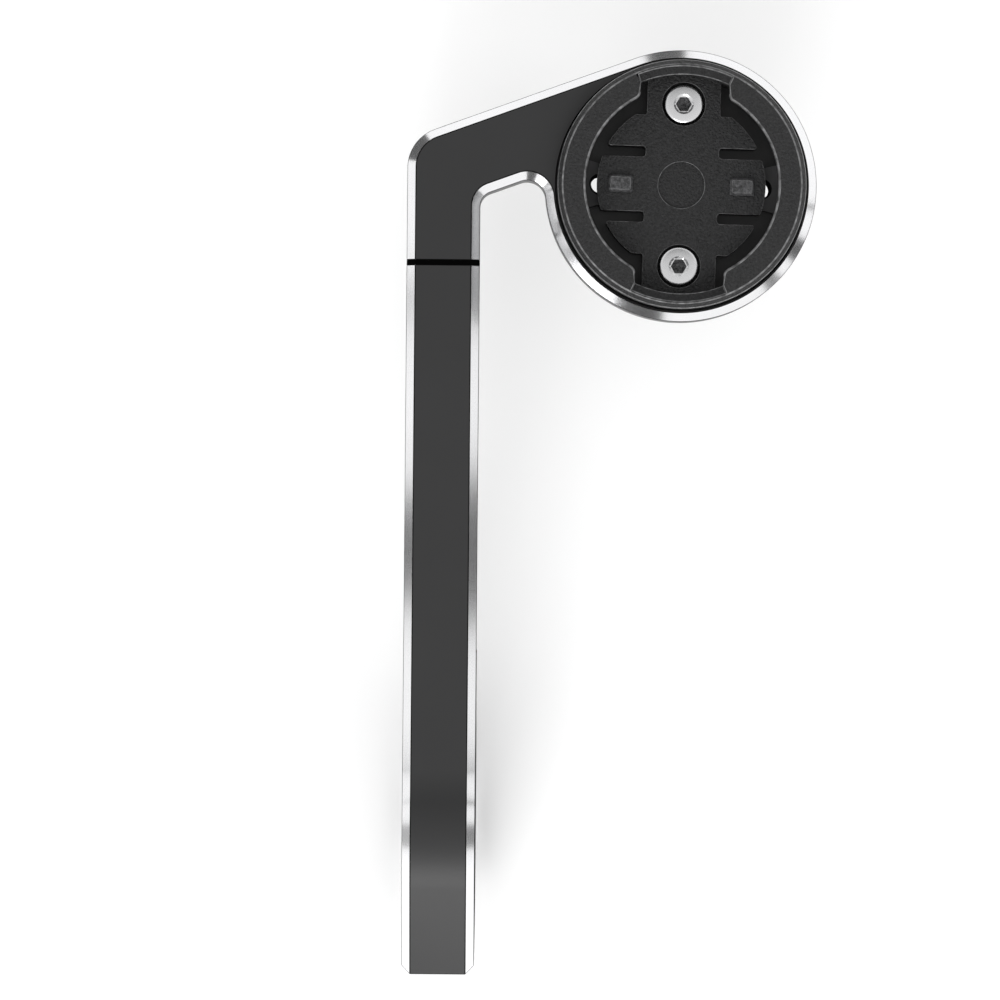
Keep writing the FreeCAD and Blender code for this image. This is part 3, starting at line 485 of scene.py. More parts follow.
def longArmLoop(inset, notched):
    # The outline seen along the handlebar, from the boss round the end and the hump to the bore and back.
    # Every side moves in by the inset except the end and the bore.
    # The cheek is the outline of a knuckle's inner face, which the notched outline goes without.
    a = longArm
    counts = a["counts"]
    sides = (
        (-90, -a["bossFoot"], 1), (0, a["bossFront"], 1), (-90, -a["bottom"], 1), (0, a["end"], 0),
        (90, a["top"], 1), (90 - a["humpSlope"], a["crest"], 1), (90 + a["rearSlope"], a["crest"], 1),
        (180, a["rear"], 1), (270, -a["rearFoot"], 1),
    )
    corners = (
        (a["bossCorner"], 1, counts["bossCorner"]), (a["bossBlend"], -1, counts["bossBlend"]),
        (0, 0, 1), (0, 0, 1),
        (a["humpBlend"], -1, counts["humpBlend"]), (a["crest"], 1, counts["crest"]),
        (0, 0, 1), (a["rearCorner"], 1, counts["rearCorner"]),
    )
    path = roundedPath(sides, corners, inset)
    bar = path[:-counts["rearCorner"]]
    heelCorner = path[-counts["rearCorner"]:]
    foot = a["bossFoot"] + inset
    start = np.array([[math.sqrt(a["bore"] ** 2 - foot ** 2), foot]])
    notchRound = a["rearCorner"]
    centre = np.array([a["notchFront"] - notchRound, a["notchTop"] - notchRound])
    cosine = (a["bore"] ** 2 - centre @ centre - notchRound ** 2) / (2 * notchRound * math.hypot(*centre))
    notch = arc(centre, notchRound, 90, bearing(centre) - math.degrees(math.acos(cosine)), counts["notch"])
    over = arc((0, 0), a["bore"], bearing(notch[-1]), bearing(start[0]), counts["bore"])[:-1]
    level = np.array([[-a["rear"] + inset, a["notchTop"]]])
    if notched:
        return np.concatenate((start, bar, level, notch[:-1], over)), None
    sole = a["rearFoot"] + inset
    heel = bearing((-math.sqrt(a["bore"] ** 2 - sole ** 2), sole))
    rise = arc((0, 0), a["bore"], heel % 360, bearing(notch[-1]), counts["rise"])
    cheek = np.concatenate((level, heelCorner, rise, notch[-2::-1]))
    return np.concatenate((start, bar, level, heelCorner, rise[:-1], over)), cheek


def makeLongArm():
    # The outline carried across the arm, moved in at both sides by the bright cut,
    # and the notched outline carried across the middle, between the knuckles.
    a = longArm
    shell = newShell()
    wide = a["halfWidth"]
    cut = a["brightCut"]
    notch = a["notchHalf"]
    shoulder = wide - cut
    outer, _ = longArmLoop(cut, False)
    full, cheek = longArmLoop(0, False)
    notched, _ = longArmLoop(0, True)
    endSide = int(np.flatnonzero(np.isclose(full[:, 0], a["end"]))[0])      # between the end's two corners
    boreFrom = len(full) - a["counts"]["bore"] - a["counts"]["rise"] + 1    # from here on nothing is cut
    pin = circle(a["pin"][:2], a["pin"][2], a["counts"]["pin"])
    for side in (-1, 1):
        stations = ((outer, side * wide), (full, side * shoulder), (full, side * notch))
        rings = [np.insert(loop, 0, x, axis=1) for loop, x in stations]
        addRings(shell, rings[:2], 1, [endSide, *range(boreFrom, len(full))])
        addRings(shell, rings[:2], 0, [endSide, *range(boreFrom)])
        addRings(shell, rings[1:], 0, (0, endSide))
        addFlat(shell, outer, [pin], onPlane(0, side * wide), 0)
        addFlat(shell, cheek, [pin], onPlane(0, side * notch), 0)
        addWall(shell, pin, 0, (side * wide, side * notch), 0)
    addWall(shell, notched, 0, (-notch, notch), 0, (0, endSide))
    # the two flat faces with a threaded hole: the boss's foot and the end
    place, radius, depth = a["boltHole"]
    foot = a["bossFoot"]
    stations = (-shoulder, -notch, notch, shoulder)
    outline = np.array([(x, full[0, 0]) for x in stations] + [(x, full[1, 0]) for x in stations[::-1]])
    hole = circle((0, place), radius)
    addFlat(shell, outline, [hole], onPlane(2, foot), 0)
    addWall(shell, hole, 2, (foot, foot + depth), 0)
    addFlat(shell, hole, [], onPlane(2, foot + depth), 0)
    level, radius, depth = a["screwHole"]
    low = ((-wide, cut), (-shoulder, 0), (-notch, 0), (notch, 0), (shoulder, 0), (wide, cut))
    lower = [(x, a["bottom"] + rise) for x, rise in low]
    upper = [(x, a["top"] - rise) for x, rise in low[::-1]]
    outline = np.array(lower + upper)
    hole = circle((0, level), radius)
    addFlat(shell, outline, [hole], onPlane(1, a["end"]), 0)
    addWall(shell, hole, 1, (a["end"], a["end"] - depth), 0)
    addFlat(shell, hole, [], onPlane(1, a["end"] - depth), 0)
    finishPiece("long_arm_bar", shell, (blackAnodised, brightCut, anodisedEdgePaintedShade), "long_arm", "main_arm",
                bevel=a["edge"], edgeSlot=2)


makeLongArm()
print("long arm made")


# Side arm: a link from the joint, bent to the side, that runs into the round head

sideArm = {
    "halfWidth": 5.3,
    "brightCut": 1.25,
    "joint": 83.10,
    "top": 19.08,
    "bottom": 10.58,
    "head": (34.4, 94.15),
    "headRadius": 19.7,
    "slope": 20.0,
    "linkWidth": 11.3,
    "outerCorner": 5.9,
    "innerCorner": 2.2,
    "headCorner": 2.7,
    "pocketRadius": 18.2,
    "pocketFloor": 16.38,
    "tray": (6.0, 16.6, 61.0, 15.18),         # inner and outer radius, sweep, floor
    "thread": (11.75, 1.5),                   # distance from the middle, radius
    "ridge": {"pitch": 0.5, "crest": 0.84, "start": 0.1, "flanks": (0.45, 0.55)},    # crest, of the radius
    "turn": -1.3,
    "screwSeat": (14.83, 2.95, 95.10, 1.5),   # level, radius, seat, bore radius
    "seatWall": (-3.6, 3.6),                  # the part of the slanted wall that the seat opens through
    "edge": 0.10,
    "spared": (0.1, 1.0, 0.3),                # past the pocket's wall, under the top, share of the edge
    # points along each arc
    "counts": {
        "outer": 25, "head": 240, "neck": 22, "inner": 20, "pocket": 256, "thread": 32,
        "trayOuter": 48, "trayInner": 20,
    },
}


def sideArmLoop(inset):
    # The plan outline moved in by the inset, from the joint's left end round the head and back.
    a = sideArm
    counts = a["counts"]
    slope = math.radians(a["slope"])
    along = np.array([math.cos(slope), math.sin(slope)])
    upward = np.array([-math.sin(slope), math.cos(slope)])
    centre = np.array(a["head"])
    radius = a["headRadius"] - inset
    half = a["halfWidth"] - inset
    width = a["linkWidth"] - 2 * inset
    outer = a["outerCorner"] - inset
    inner = a["innerCorner"] + inset
    neck = a["headCorner"] + inset
    tangent = centre + upward * radius

    def onLine(drop, x):
        # The point at x on the slanted wall's line, moved in by the drop.
        start = tangent - upward * drop
        return start + along * ((x - start[0]) / along[0])

    outerCentre = onLine(outer, outer - half)
    innerCentre = onLine(width + inner, half + inner)
    rise = radius - width - neck
    neckCentre = centre + upward * rise - along * math.sqrt((radius + neck) ** 2 - rise ** 2)
    outward = bearing(neckCentre - centre) % 360
    leaning = 90 + a["slope"]
    return np.concatenate((
        [[-half, a["joint"]]],
        arc(outerCentre, outer, 180, leaning, counts["outer"]),
        [onLine(0, a["seatWall"][1])],
        arc(centre, radius, leaning, outward - 360, counts["head"]),
        arc(neckCentre, neck, outward - 180, leaning, counts["neck"])[1:],
        arc(innerCentre, inner, leaning, 180, counts["inner"]),
        [[half, a["joint"]]],
    ))


def threadRings(thread, turns):
    # The hole's wall, drawn in to a crest once in each turn.
    a = sideArm
    ridge = a["ridge"]
    middle = thread.mean(axis=0)
    rings = [np.insert(thread, 2, a["pocketFloor"], axis=1)]
    for turn in range(turns):
        level = a["pocketFloor"] - ridge["start"] - turn * ridge["pitch"]
        rings.append(np.insert(thread, 2, level, axis=1))
        crest = middle + (thread - middle) * ridge["crest"]
        rings += [np.insert(crest, 2, level - drop * ridge["pitch"], axis=1) for drop in ridge["flanks"]]
    return rings + [np.insert(thread, 2, a["bottom"], axis=1)]


def makeSideArm():
    # The plan outline carried upwards, moved in at both faces by the bright cut,
    # with the pocket and the swivel screw's seat let in.
    a = sideArm
    counts = a["counts"]
    shell = newShell()
    cut = a["brightCut"]
    full = sideArmLoop(0)
    face = sideArmLoop(cut)
    foot = len(full) - 1          # the side that is the joint's face
    levels = (a["top"], a["top"] - cut, a["bottom"] + cut, a["bottom"])
    rings = [np.insert(loop, 2, z, axis=1) for loop, z in zip((face, full, full, face), levels)]
    seatSides = 1 + np.flatnonzero(full[1:counts["outer"] + 1, 0] > a["seatWall"][0] - tiny)
    addRings(shell, rings[:2], 1, (foot,))
    addRings(shell, rings[1:3], 0, (*seatSides, foot))
    addRings(shell, rings[2:], 1, (foot,))
    # top with the pocket, the pocket's floor with its trays and threads, and the underside
    centre = np.array(a["head"])
    rim = circle(centre, a["pocketRadius"], counts["pocket"])
    spacing, bore = a["thread"]
    threads = []
    trays = []
    inner, outer, sweep, trayFloor = a["tray"]
    for quarter in range(4):
        towards = a["turn"] + 90 * quarter
        middle = arc(centre, spacing, towards, towards, 1)[0]
        threads.append(circle(middle, bore, counts["thread"]))
        start = 90 * quarter + (90 - sweep) / 2 + a["turn"]
        outerArc = arc(centre, outer, start, start + sweep, counts["trayOuter"])
        innerArc = arc(centre, inner, start + sweep, start, counts["trayInner"])
        trays.append(np.concatenate((outerArc, innerArc)))
    addFlat(shell, face, [rim], onPlane(2, a["top"]), 0)
    addWall(shell, rim, 2, (a["top"], a["pocketFloor"]), 0)
    # The pocket floor takes slot 3, its black lightened as painted light against the shade in the recess.
    addFlat(shell, rim, trays + threads, onPlane(2, a["pocketFloor"]), 3)
    for tray in trays:
        addWall(shell, tray, 2, (a["pocketFloor"], trayFloor), 0)
        addFlat(shell, tray, [], onPlane(2, trayFloor), 0)
    turns = int((a["pocketFloor"] - a["bottom"]) / a["ridge"]["pitch"] - 0.5)
    for k, thread in enumerate(threads):
        addRings(shell, threadRings(thread, turns if k % 2 == 0 else 0), 4)    # two holes have no screw
    addFlat(shell, face, threads, onPlane(2, a["bottom"]), 0)
    # joint face, and the swivel screw's seat, open through the slanted wall
    level, seatRadius, seatPlace, boreRadius = a["screwSeat"]
    half = a["halfWidth"]
    outline = np.array([
        (-half, levels[2]), (-half + cut, levels[3]), (half - cut, levels[3]), (half, levels[2]),
        (half, levels[1]), (half - cut, levels[0]), (-half + cut, levels[0]), (-half, levels[1]),
    ])
    boreCircle = circle((0, level), boreRadius)
    seatCircle = circle((0, level), seatRadius)
    addFlat(shell, outline, [boreCircle], onPlane(1, a["joint"]), 0)
    addWall(shell, boreCircle, 1, (a["joint"], seatPlace), 0)
    addFlat(shell, seatCircle, [boreCircle], onPlane(1, seatPlace), 0)
    columns = full[seatSides[0]:seatSides[-1] + 2]

    def onWall(points):
        # Lifts points to the slanted wall, by what the outline gives at each x.
        return np.insert(points, 1, np.interp(points[:, 0], columns[:, 0], columns[:, 1]), axis=1)

    across = columns[:, :1]
    lower = np.insert(across, 1, levels[2], axis=1)
    upper = np.insert(across[::-1], 1, levels[1], axis=1)
    addFlat(shell, np.concatenate((lower, upper)), [seatCircle], onWall, 0)
    addRings(shell, [onWall(seatCircle), np.insert(seatCircle, 1, seatPlace, axis=1)], 0)
    past, under, share = a["spared"]
    materialsWithPaintedLight = (blackAnodised, brightCut, anodisedEdgePaintedShade, pocketFloorPaintedLight, threadShade)
    finishPiece("side_arm_plate", shell, materialsWithPaintedLight, "side_arm", "head_arm", bevel=a["edge"],
                edgeSlot=2, spared=(*a["head"], a["pocketRadius"] + past, a["top"] - under, share))


makeSideArm()
print("side arm made")


# Quarter-turn puck, moulded in one piece: a ring with two lips and two ear entries, and a floor with tongues

puck = {
    "place": (34.4, 94.15, 16.38),
    "turn": -1.3,
    "radius": 17.95,
    "height": 7.1,
    "bevel": 0.7,
    "foot": 0.4,
    "innerWall": 15.85,
    "lipRadius": 13.9,
    "lipUnder": 5.5,
    "lipCorner": 1.1,
    "lipEdge": 0.2,
    "earHalf": 6.375,
    "earRadius": 15.8,
    "leadRadius": 17.0,
    "leadStart": 6.2,
    "leadLevels": (6.45, 6.7),
    "floorTop": 3.5,
    "floorRadius": 12.2,
    "floorHalf": 10.05,
    "spineHalf": 5.3,
    "spineReach": 16.875,
    "tongueHalf": 3.95,
    "tongueSlot": 1.55,
    "slotRound": 0.465,
    "cornerRound": 0.3,
    "dish": (3.4, 0.25),
    "screwPitch": 11.75,
    "screwSeat": (3.15, 1.5),
    "screwHole": 1.6,
    "bump": {
        "near": 7.0, "far": 10.6, "half": 1.25, "height": 0.7, "ramp": 0.35, "corner": 0.25,
        "sunk": 0.3,              # how deep it goes into the tongue
        "foot": 0.05,             # level over the tongue where it starts to lean in
        "waist": (0.45, 0.7),     # share of the ramp and of the height
    },
    "edge": 0.14,
    "spared": (0.1, 0.5, 0.3),    # past the spine's end, under the lips, share of the edge
    # points along each arc
    "counts": {
        "ear": 48, "lipCorner": 8, "lip": 110, "tip": 7, "pad": 9, "corner": 6,
        "seat": 72, "hole": 48, "dish": 96,
    },
}


def rounded(corners, count=6):
    # A closed outline from (x, y, radius): each corner with a radius becomes an arc that touches
    # both its sides.
    points = np.array([corner[:2] for corner in corners], float)
    outline = []
    for k, (_, _, radius) in enumerate(corners):
        here = points[k]
        back = points[k - 1] - here
        ahead = points[(k + 1) % len(points)] - here
        back /= np.hypot(*back)
        ahead /= np.hypot(*ahead)
        if not radius:
            outline.append(here[None])
            continue
        half = math.acos(np.clip(back @ ahead, -1, 1)) / 2
        middle = back + ahead
        centre = here + middle / np.hypot(*middle) * radius / math.sin(half)
        start, end = (here + way * radius / math.tan(half) - centre for way in (back, ahead))
        first = bearing(start)
        outline.append(arc(centre, radius, first, first + shorterTurn(first, bearing(end)), count))
    return np.concatenate(outline)


def lipLoop():
    # The ring's inner outline at the lips, and what each column is: 0 an ear's arc, 1 an ear's end, 2 a lip.
    p = puck
    counts = p["counts"]
    side = p["earHalf"]
    earTurn = math.degrees(math.asin(side / p["earRadius"]))
    away = p["lipRadius"] + p["lipCorner"]
    cornerX = side + p["lipCorner"]
    cornerY = math.sqrt(away ** 2 - cornerX ** 2)
    cornerTurn = math.degrees(math.asin(cornerX / away))
    points = []
    kinds = []
    for half, way in ((0, 1), (180, -1)):
        ear = arc((0, 0), p["earRadius"], half + 90 - earTurn, half + 90 + earTurn, counts["ear"])
        corner = arc((-way * cornerX, way * cornerY), p["lipCorner"],
                     half, half - 90 + cornerTurn, counts["lipCorner"])
        lip = arc((0, 0), p["lipRadius"], half + 90 + cornerTurn, half + 270 - cornerTurn, counts["lip"])
        nextCorner = arc((-way * cornerX, -way * cornerY), p["lipCorner"],
                         half + 90 - cornerTurn, half, counts["lipCorner"])
        parts = (ear[:1], ear, ear[-1:], corner, lip[1:-1], nextCorner)
        for part, kind in zip(parts, (1, 0, 1, 2, 2, 2)):
            points.append(part)
            kinds += [kind] * len(part)
    return np.concatenate(points), np.array(kinds)


def addPuckRing(shell):
    # One closed section of rings: up inside the lips, over the top, down outside and back under the lips.
    p = puck
    loop, kinds = lipLoop()
    outward = loop / np.hypot(*loop.T)[:, None]
    normal = np.roll(loop, -1, axis=0) - np.roll(loop, 1, axis=0)
    normal = np.column_stack((normal[:, 1], -normal[:, 0]))
    normal /= np.hypot(*normal.T)[:, None]

    def innerLoop(z):
        # The lip's edge is cut off at its top, and the ear's wall leans out from the lead's start.
        share = max(0.0, (z - p["leadStart"]) / (p["height"] - p["leadStart"]))
        eased = math.sin(share * math.pi / 2)
        ear = p["earRadius"] + (p["leadRadius"] - p["earRadius"]) * (share + eased) / 2
        cut = max(0.0, z - (p["height"] - p["lipEdge"]))
        lips = np.where((kinds == 2)[:, None], loop + normal * cut, loop)
        return np.insert(np.where((kinds == 0)[:, None], outward * ear, lips), 2, z, axis=1)

    levels = (p["lipUnder"], p["leadStart"], *p["leadLevels"], p["height"] - p["lipEdge"], p["height"])
    profile = (
        (p["radius"] - p["bevel"], p["height"]), (p["radius"], p["height"] - p["bevel"]),
        (p["radius"], p["foot"]), (p["radius"] - p["foot"], 0),
        (p["innerWall"], 0), (p["innerWall"], p["lipUnder"]),
    )
    rings = [innerLoop(z) for z in levels]
    rings += [np.insert(outward * radius, 2, z, axis=1) for radius, z in profile]
    addRings(shell, rings + rings[:1], 0)


def puckFloorOutline():
    # One quarter with its rounded corners, from the tongue's tip over the slot and the pad to the
    # spine's end, then the other three as its mirror images.
    p = puck
    reach = p["floorRadius"]
    slotTop = p["tongueHalf"] + p["tongueSlot"]
    tongueTurn, slotTurn, padTurn = (
        math.degrees(math.asin(level / reach)) for level in (p["tongueHalf"], slotTop, p["floorHalf"]))
    tip = np.insert(arc((0, 0), reach, 0, tongueTurn, p["counts"]["tip"]), 2, 0.0, axis=1)
    tip[-1, 2] = p["cornerRound"]
    pad = np.insert(arc((0, 0), reach, slotTurn, padTurn, p["counts"]["pad"]), 2, 0.0, axis=1)
    pad[[0, -1], 2] = p["cornerRound"]
    slot = ((p["spineHalf"], p["tongueHalf"], p["slotRound"]), (p["spineHalf"], slotTop, p["slotRound"]))
    spine = ((p["spineHalf"], p["floorHalf"], p["cornerRound"]), (p["spineHalf"], p["spineReach"], 0.0))
    quarter = np.concatenate((tip, slot, pad, spine))
    corners = np.concatenate((
        quarter, quarter[::-1] * (-1, 1, 1), quarter[1:] * (-1, -1, 1), quarter[:0:-1] * (1, -1, 1)))
    steps = np.hypot(*(corners - np.roll(corners, 1, axis=0))[:, :2].T)
    return rounded(corners[steps > tiny], p["counts"]["corner"])


def addPuckFloor(shell):
    # The floor with the spine, the tongues between their slots, the screw seats and the dish.
    p = puck
    counts = p["counts"]
    outline = puckFloorOutline()
    top = p["floorTop"]
    seatRadius, seatFloor = p["screwSeat"]
    dishRadius, dishDepth = p["dish"]
    seats = [circle((0, side * p["screwPitch"]), seatRadius, counts["seat"]) for side in (-1, 1)]
    holes = [circle((0, side * p["screwPitch"]), p["screwHole"], counts["hole"]) for side in (-1, 1)]
    dish = circle((0, 0), dishRadius, counts["dish"])
    addFlat(shell, outline, [*seats, dish], onPlane(2, top), 0)
    addWall(shell, outline, 2, (top, 0), 0)
    addFlat(shell, outline, holes, onPlane(2, 0), 0)
    addWall(shell, dish, 2, (top, top - dishDepth), 0)
    addFlat(shell, dish, [], onPlane(2, top - dishDepth), 0)
    for seat, hole in zip(seats, holes):
        addWall(shell, seat, 2, (top, seatFloor), 0)
        addFlat(shell, seat, [hole], onPlane(2, seatFloor), 0)
        addWall(shell, hole, 2, (seatFloor, 0), 0)


def addPuckBump(shell, side):
    # A box with rounded corners that leans in all round towards its top.
    b = puck["bump"]
    top = puck["floorTop"]
    middle = side * (b["near"] + b["far"]) / 2
    wide = (b["far"] - b["near"]) / 2
    crown = top + b["height"]
    waistIn, waistUp = b["waist"]
    profile = (
        (0, top - b["sunk"]), (0, top + b["foot"]),
        (b["ramp"] * waistIn, top + b["height"] * waistUp), (b["ramp"], crown),
    )
    rings = []
    for shrink, z in profile:
        box = [
            (middle + sx * (wide - shrink), sy * (b["half"] - shrink), b["corner"])
            for sx, sy in ((1, -1), (1, 1), (-1, 1), (-1, -1))
        ]
        rings.append(np.insert(rounded(box), 2, z, axis=1))
    addRings(shell, rings, 1)
    addFlat(shell, rings[-1][:, :2], [], onPlane(2, crown), 1)
    addFlat(shell, rings[0][:, :2], [], onPlane(2, top - b["sunk"]), 1)


def makePuck():
    # Ring, floor and bumps in the puck's own frame, then turned and set in the head's pocket.
    p = puck
    shell = newShell()
    addPuckRing(shell)
    addPuckFloor(shell)
    for side in (-1, 1):
        addPuckBump(shell, side)
    turn = math.radians(p["turn"])
    cosine = math.cos(turn)
    sine = math.sin(turn)
    turned = np.array([[cosine, sine, 0], [-sine, cosine, 0], [0, 0, 1]])
    shell["points"] = [np.concatenate(shell["points"]) @ turned + np.array(p["place"])]
    past, under, share = p["spared"]
    x, y, z = p["place"]
    finishPiece("puck_moulding", shell, (mouldedPlastic, roughPlastic, plasticEdgeHighlight), "side_arm",
                "quarter_turn_puck", bevel=p["edge"], edgeSlot=2,
                spared=(x, y, p["spineReach"] + past, z + p["lipUnder"] - under, share))


makePuck()
print("puck made")


# Socket head screws, each turned about its own axis, with a hexagon key socket

screws = {
    # shank radius and length, head radius and height, across flats, thread pitch, knurl, body
    "puck_screw_front": (1.45, 6.0, 2.75, 2.0, 2.0, 0.5, 0.0, "side_arm"),
    "puck_screw_rear": (1.45, 6.0, 2.75, 2.0, 2.0, 0.5, 0.0, "side_arm"),
    "swivel_screw": (1.45, 20.0, 2.75, 3.0, 2.5, 0.5, 0.0, "long_arm"),
    "clamp_bolt": (1.825, 12.0, 3.5, 4.0, 3.0, 0.7, 0.05, "strap"),
}
puckTurn = math.radians(puck["turn"])
puckAhead = np.array([-math.sin(puckTurn), math.cos(puckTurn), 0]) * puck["screwPitch"]
screwFoot = np.array(puck["place"]) + np.array([0, 0, puck["screwSeat"][1]])
screwAxes = {
    # foot of the head and the way the head faces
    "puck_screw_front": (screwFoot + puckAhead, (0, 0, 1)),
    "puck_screw_rear": (screwFoot - puckAhead, (0, 0, 1)),
    "swivel_screw": (np.array([0, 95.65, 14.83]), (0, 1, 0)),
    "clamp_bolt": (np.array([0, 22.0, -6.55]), (0, 0, -1)),
}
screwShape = {
    "columns": 96,
    "pole": 0.02,                 # radius of the small flat that closes each end
    "tip": 0.35,                  # chamfer at the shank's tip
    "plain": 0.8,                 # length with no thread, both ends together
    "runOut": 0.3,                # plain shank under the head
    "threadDepth": 0.14,
    "threadCrest": (0.45, 0.55),  # share of a turn
    "underHead": 0.12,            # chamfer under the head
    "topEdge": 0.35,
    "topBend": (0.4, 0.75, 1.0),  # shares of the quarter turn round the top's edge
    "crown": 0.06,                # how much lower the rounded edge ends than the middle
    "dome": (0.7, 0.015),         # share of the head's radius, drop there
    "countersink": 0.30,
    "sinkSlope": 0.7,             # its depth as a share of its width
    "ledge": (0.02, 0.01),        # width and drop between the countersink and the hexagon
    "keyDepthShare": 0.6,
    "keyFloor": (0.6, 0.12, 0.3), # share of the apothem, drop there, drop in the middle
    "sharp": 24,
}


def screwProfile(name, angle):
    # From the shank's tip up over the head, then down into the key socket: radius all round, and height.
    shank, length, headRadius, height, across, pitch, knurl, _ = screws[name]
    shape = screwShape
    apothem = across / 2
    hexagon = apothem / np.cos((angle % (math.pi / 3)) - math.pi / 6)
    corner = apothem / math.cos(math.pi / 6)
    knurled = headRadius * (1 - knurl / headRadius * (np.arange(len(angle)) % 2))
    edge = shape["topEdge"]
    levels = [(shape["pole"], -length), (shank - shape["tip"], -length)]
    rise, fall = shape["threadCrest"]
    for k in range(int((length - shape["plain"]) / pitch)):
        low = -length + shape["tip"] + k * pitch
        levels.append((shank - shape["threadDepth"], low))
        levels += [(shank, low + pitch * rise), (shank, low + pitch * fall)]
    levels += [(shank, -shape["runOut"]), (shank, 0.0), (headRadius - shape["underHead"], 0.0)]
    levels += [(knurled, shape["underHead"]), (knurled, height - edge)]
    for share in shape["topBend"]:
        bend = share * math.pi / 2
        inwards = edge * (1 - math.cos(bend))
        levels.append((headRadius - inwards, height - edge + (edge - shape["crown"]) * math.sin(bend)))
    domeShare, domeDrop = shape["dome"]
    ledgeWidth, ledgeDrop = shape["ledge"]
    sink = shape["countersink"]
    ledge = height - sink * shape["sinkSlope"]
    levels += [(headRadius * domeShare, height - domeDrop), (corner + sink, height)]
    levels += [(corner + ledgeWidth, ledge), (hexagon, ledge - ledgeDrop)]
    key = height * (1 - shape["keyDepthShare"])
    floorShare, floorDrop, middleDrop = shape["keyFloor"]
    levels += [(hexagon, key), (floorShare * apothem, key - floorDrop), (shape["pole"], key - middleDrop)]
    return levels


def makeScrew(name):
    # The profile turned round the screw's axis, the key socket's last four rings and both end caps in a
    # darker metal, painted shade for the inside of the hole.
    angle = np.arange(screwShape["columns"]) / screwShape["columns"] * 2 * math.pi
    rings = [
        np.column_stack((radius * np.cos(angle), radius * np.sin(angle), np.full(len(angle), z)))
        for radius, z in screwProfile(name, angle)
    ]
    shell = newShell()
    addRings(shell, rings[:-3], 0)
    addRings(shell, rings[-4:], 1)
    for ring in (rings[0], rings[-1]):
        first = addPoints(shell, ring)
        shell["faces"].append(list(range(first, first + len(ring))))
        shell["slots"].append(1)
    foot, facing = screwAxes[name]
    up = np.array(facing, float)
    side = np.array((1.0, 0, 0))
    shell["points"] = [np.concatenate(shell["points"]) @ np.array([side, np.cross(up, side), up]) + foot]
    finishPiece(name + "_turned", shell, (stainless, keySocketPaintedShade), screws[name][-1], name,
                sharp=screwShape["sharp"])


for name in screws:
    makeScrew(name)
print("screws made")


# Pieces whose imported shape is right: their own material

for name, material in (
    ("clamp_strap", strapBlack),
    ("swivel_washer", stainless),
    ("clamp_washer", stainless),
    ("clamp_hinge_pin", stainless),
    ("clamp_pad_upper", liningRubber),
    ("clamp_pad_lower", liningRubber),
    ("joint_gasket", gasketRubber),
):
    piece = nodes[name]
    piece.data.materials.clear()
    piece.data.materials.append(material)


# Floor and light

studio = {
    "floorSize": 6.0,             # metres
    "floorGap": 0.0002,
    "floorColour": (0.98, 0.98, 0.98),
    "floorRoughness": 0.9,
    "domeDiffuse": 1.0,
    "domeZenith": 0.78,
    "domeHorizon": 1.0,
    "domeRise": (0.1, 0.6),       # heights between which the dome goes from horizon to zenith
    "domeGap": (0.0, 0.46, 0.89), # direction of the dome's darker patch
    "gapStrength": 0.62,
    "gapEdge": (0.9, 0.985),      # cosine of the angle to it, at its edge and where it is darkest
    "keySize": 0.5,
    "keyPower": 4.5,
    "keyPlace": (-0.15, -0.75, 0.72),
    "keyAim": (0.01, 0.05, 0.0),
    # dark cards beside the object, which only its shine sees:
    # middle (x, y), half width, way that it faces in degrees, shade
    "cards": (
        (-150.0, 40.0, 9.0, 0, 0), (150.0, 40.0, 12.5, 0, 0),
        (-150.0, 82.7, 2.0, 0, 0), (150.0, 82.7, 2.0, 0, 0),
        (-150.0, -13.0, 14.0, 0, 2), (150.0, -13.0, 15.0, 0, 1),
        (22.0, 234.0, 20.0, 90, 0), (-16.0, -64.0, 34.0, 70, 0), (-124.0, 184.0, 60.0, 143, 0),
    ),
    "cardShades": (0.08, 0.20, 0.40),
    "cardLevels": (-15.0, 60.0),  # mm
}


def stageObject(name, corners, faces, materials):
    # A flat thing round the object, which isn't part of it.
    mesh = bpy.data.meshes.new(name)
    mesh.from_pydata(corners, [], faces)
    for material in materials:
        mesh.materials.append(material)
    thing = bpy.data.objects.new(name, mesh)
    bpy.context.scene.collection.objects.link(thing)
    return thing


def makeFloor():
    half = studio["floorSize"] / 2
    material, _, shader = newMaterial("floor")
    shader.inputs["Base Color"].default_value = (*studio["floorColour"], 1)
    shader.inputs["Roughness"].default_value = studio["floorRoughness"]
    shader.inputs["Specular IOR Level"].default_value = 0.0
    corners = [(-half, -half, 0), (half, -half, 0), (half, half, 0), (-half, half, 0)]
    floor = stageObject("floor", corners, [(0, 1, 2, 3)], [material])
    floor.location = (0, 0, floorLevel - studio["floorGap"])


def makeCards():
    # Each card is an upright pane, half its width to either side of its middle.
    materials = []
    for shade in studio["cardShades"]:
        material, _, shader = newMaterial("card")
        shader.inputs["Base Color"].default_value = (shade, shade, shade, 1)
        shader.inputs["Specular IOR Level"].default_value = 0.0
        materials.append(material)
    corners = []
    for x, y, half, facing, _ in studio["cards"]:
        across = half * np.array([-math.sin(math.radians(facing)), math.cos(math.radians(facing))])
        for way, level in ((-1, 0), (1, 0), (1, 1), (-1, 1)):
            corners.append((x + way * across[0], y + way * across[1], studio["cardLevels"][level]))
    panes = np.arange(len(corners)).reshape(-1, 4).tolist()
    cards = stageObject("dark_cards", (np.array(corners) * mm).tolist(), panes, materials)
    shades = np.array([card[-1] for card in studio["cards"]], dtype=np.int32)
    cards.data.polygons.foreach_set("material_index", shades)
    cards.visible_camera = False
    cards.visible_diffuse = False
    cards.visible_shadow = False
    cards.visible_transmission = False


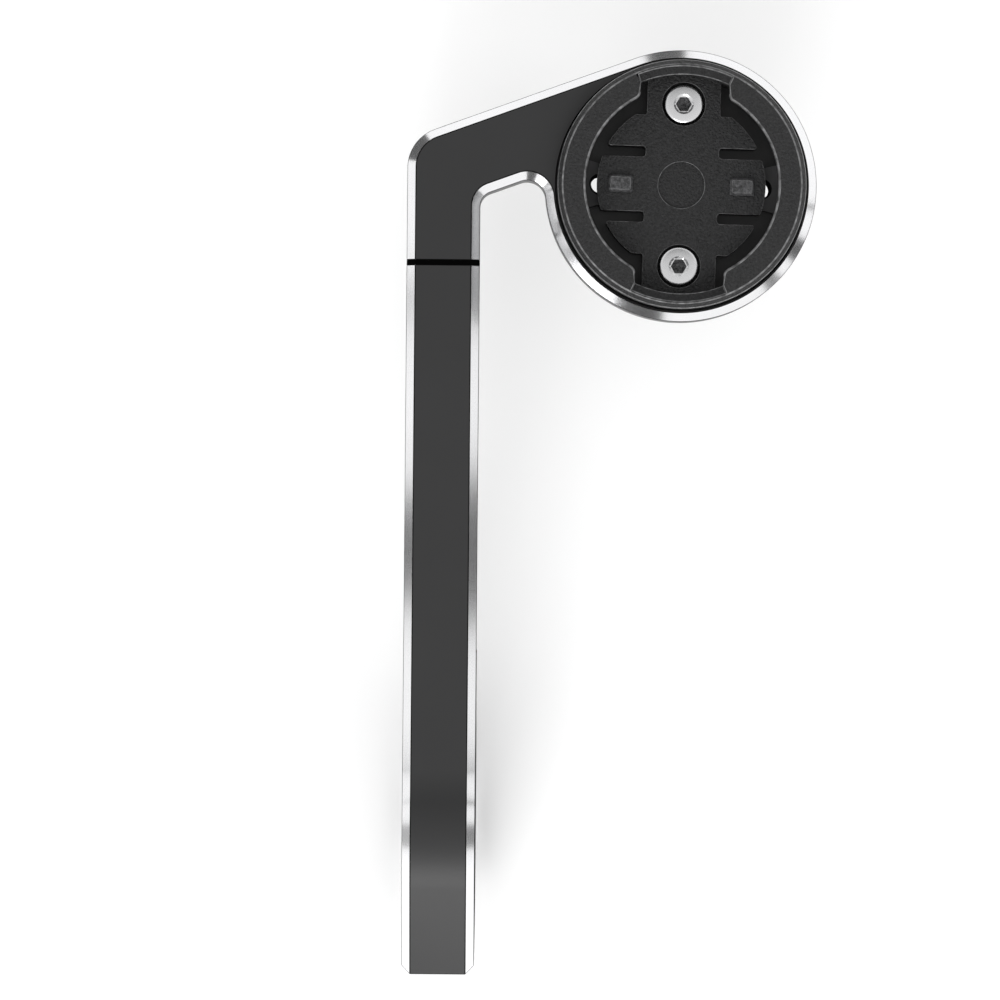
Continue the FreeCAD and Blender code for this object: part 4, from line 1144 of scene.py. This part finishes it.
def makeKey():
    # A square lamp that faces its aim.
    data = bpy.data.lights.new("key_light", "AREA")
    data.shape = "SQUARE"
    data.size = studio["keySize"]
    data.energy = studio["keyPower"]
    key = bpy.data.objects.new("key_light", data)
    bpy.context.scene.collection.objects.link(key)
    key.location = studio["keyPlace"]
    aim = np.array(studio["keyAim"]) - np.array(studio["keyPlace"])
    tilt = math.atan2(math.hypot(aim[0], aim[1]), -aim[2])
    key.rotation_euler = (tilt, 0, math.atan2(aim[0], -aim[1]) + math.pi)


def makeWorld():
    # White to the camera, even to diffuse rays, and to glossy rays a dome that darkens upwards
    # and has one darker patch.
    world = bpy.data.worlds.new("studio")
    bpy.context.scene.world = world
    world.use_nodes = True
    tree = world.node_tree
    tree.nodes.clear()
    output = tree.nodes.new("ShaderNodeOutputWorld")
    background = tree.nodes.new("ShaderNodeBackground")
    path = tree.nodes.new("ShaderNodeLightPath")
    direction = tree.nodes.new("ShaderNodeTexCoord").outputs["Generated"]
    parts = tree.nodes.new("ShaderNodeSeparateXYZ")
    tree.links.new(direction, parts.inputs["Vector"])
    toGap = tree.nodes.new("ShaderNodeVectorMath")
    toGap.operation = "DOT_PRODUCT"
    tree.links.new(direction, toGap.inputs[0])
    toGap.inputs[1].default_value = studio["domeGap"]
    dome = ramp(tree, parts.outputs["Z"], studio["domeHorizon"], studio["domeZenith"], *studio["domeRise"])
    gap = ramp(tree, toGap.outputs["Value"], 1.0, 1 - studio["gapStrength"], *studio["gapEdge"])
    glossy = path.outputs["Is Glossy Ray"]
    shine = arithmetic(tree, "MULTIPLY", arithmetic(tree, "MULTIPLY", dome, gap), glossy)
    others = arithmetic(tree, "MULTIPLY", arithmetic(tree, "SUBTRACT", 1.0, glossy), studio["domeDiffuse"])
    unseen = arithmetic(tree, "ADD", shine, others)
    strength = arithmetic(tree, "MAXIMUM", unseen, path.outputs["Is Camera Ray"])
    tree.links.new(strength, background.inputs["Strength"])
    background.inputs["Color"].default_value = (1, 1, 1, 1)
    tree.links.new(background.outputs["Background"], output.inputs["Surface"])


makeFloor()
makeCards()
makeKey()
makeWorld()
bpy.context.scene.view_settings.view_transform = "Standard"
print("studio made")
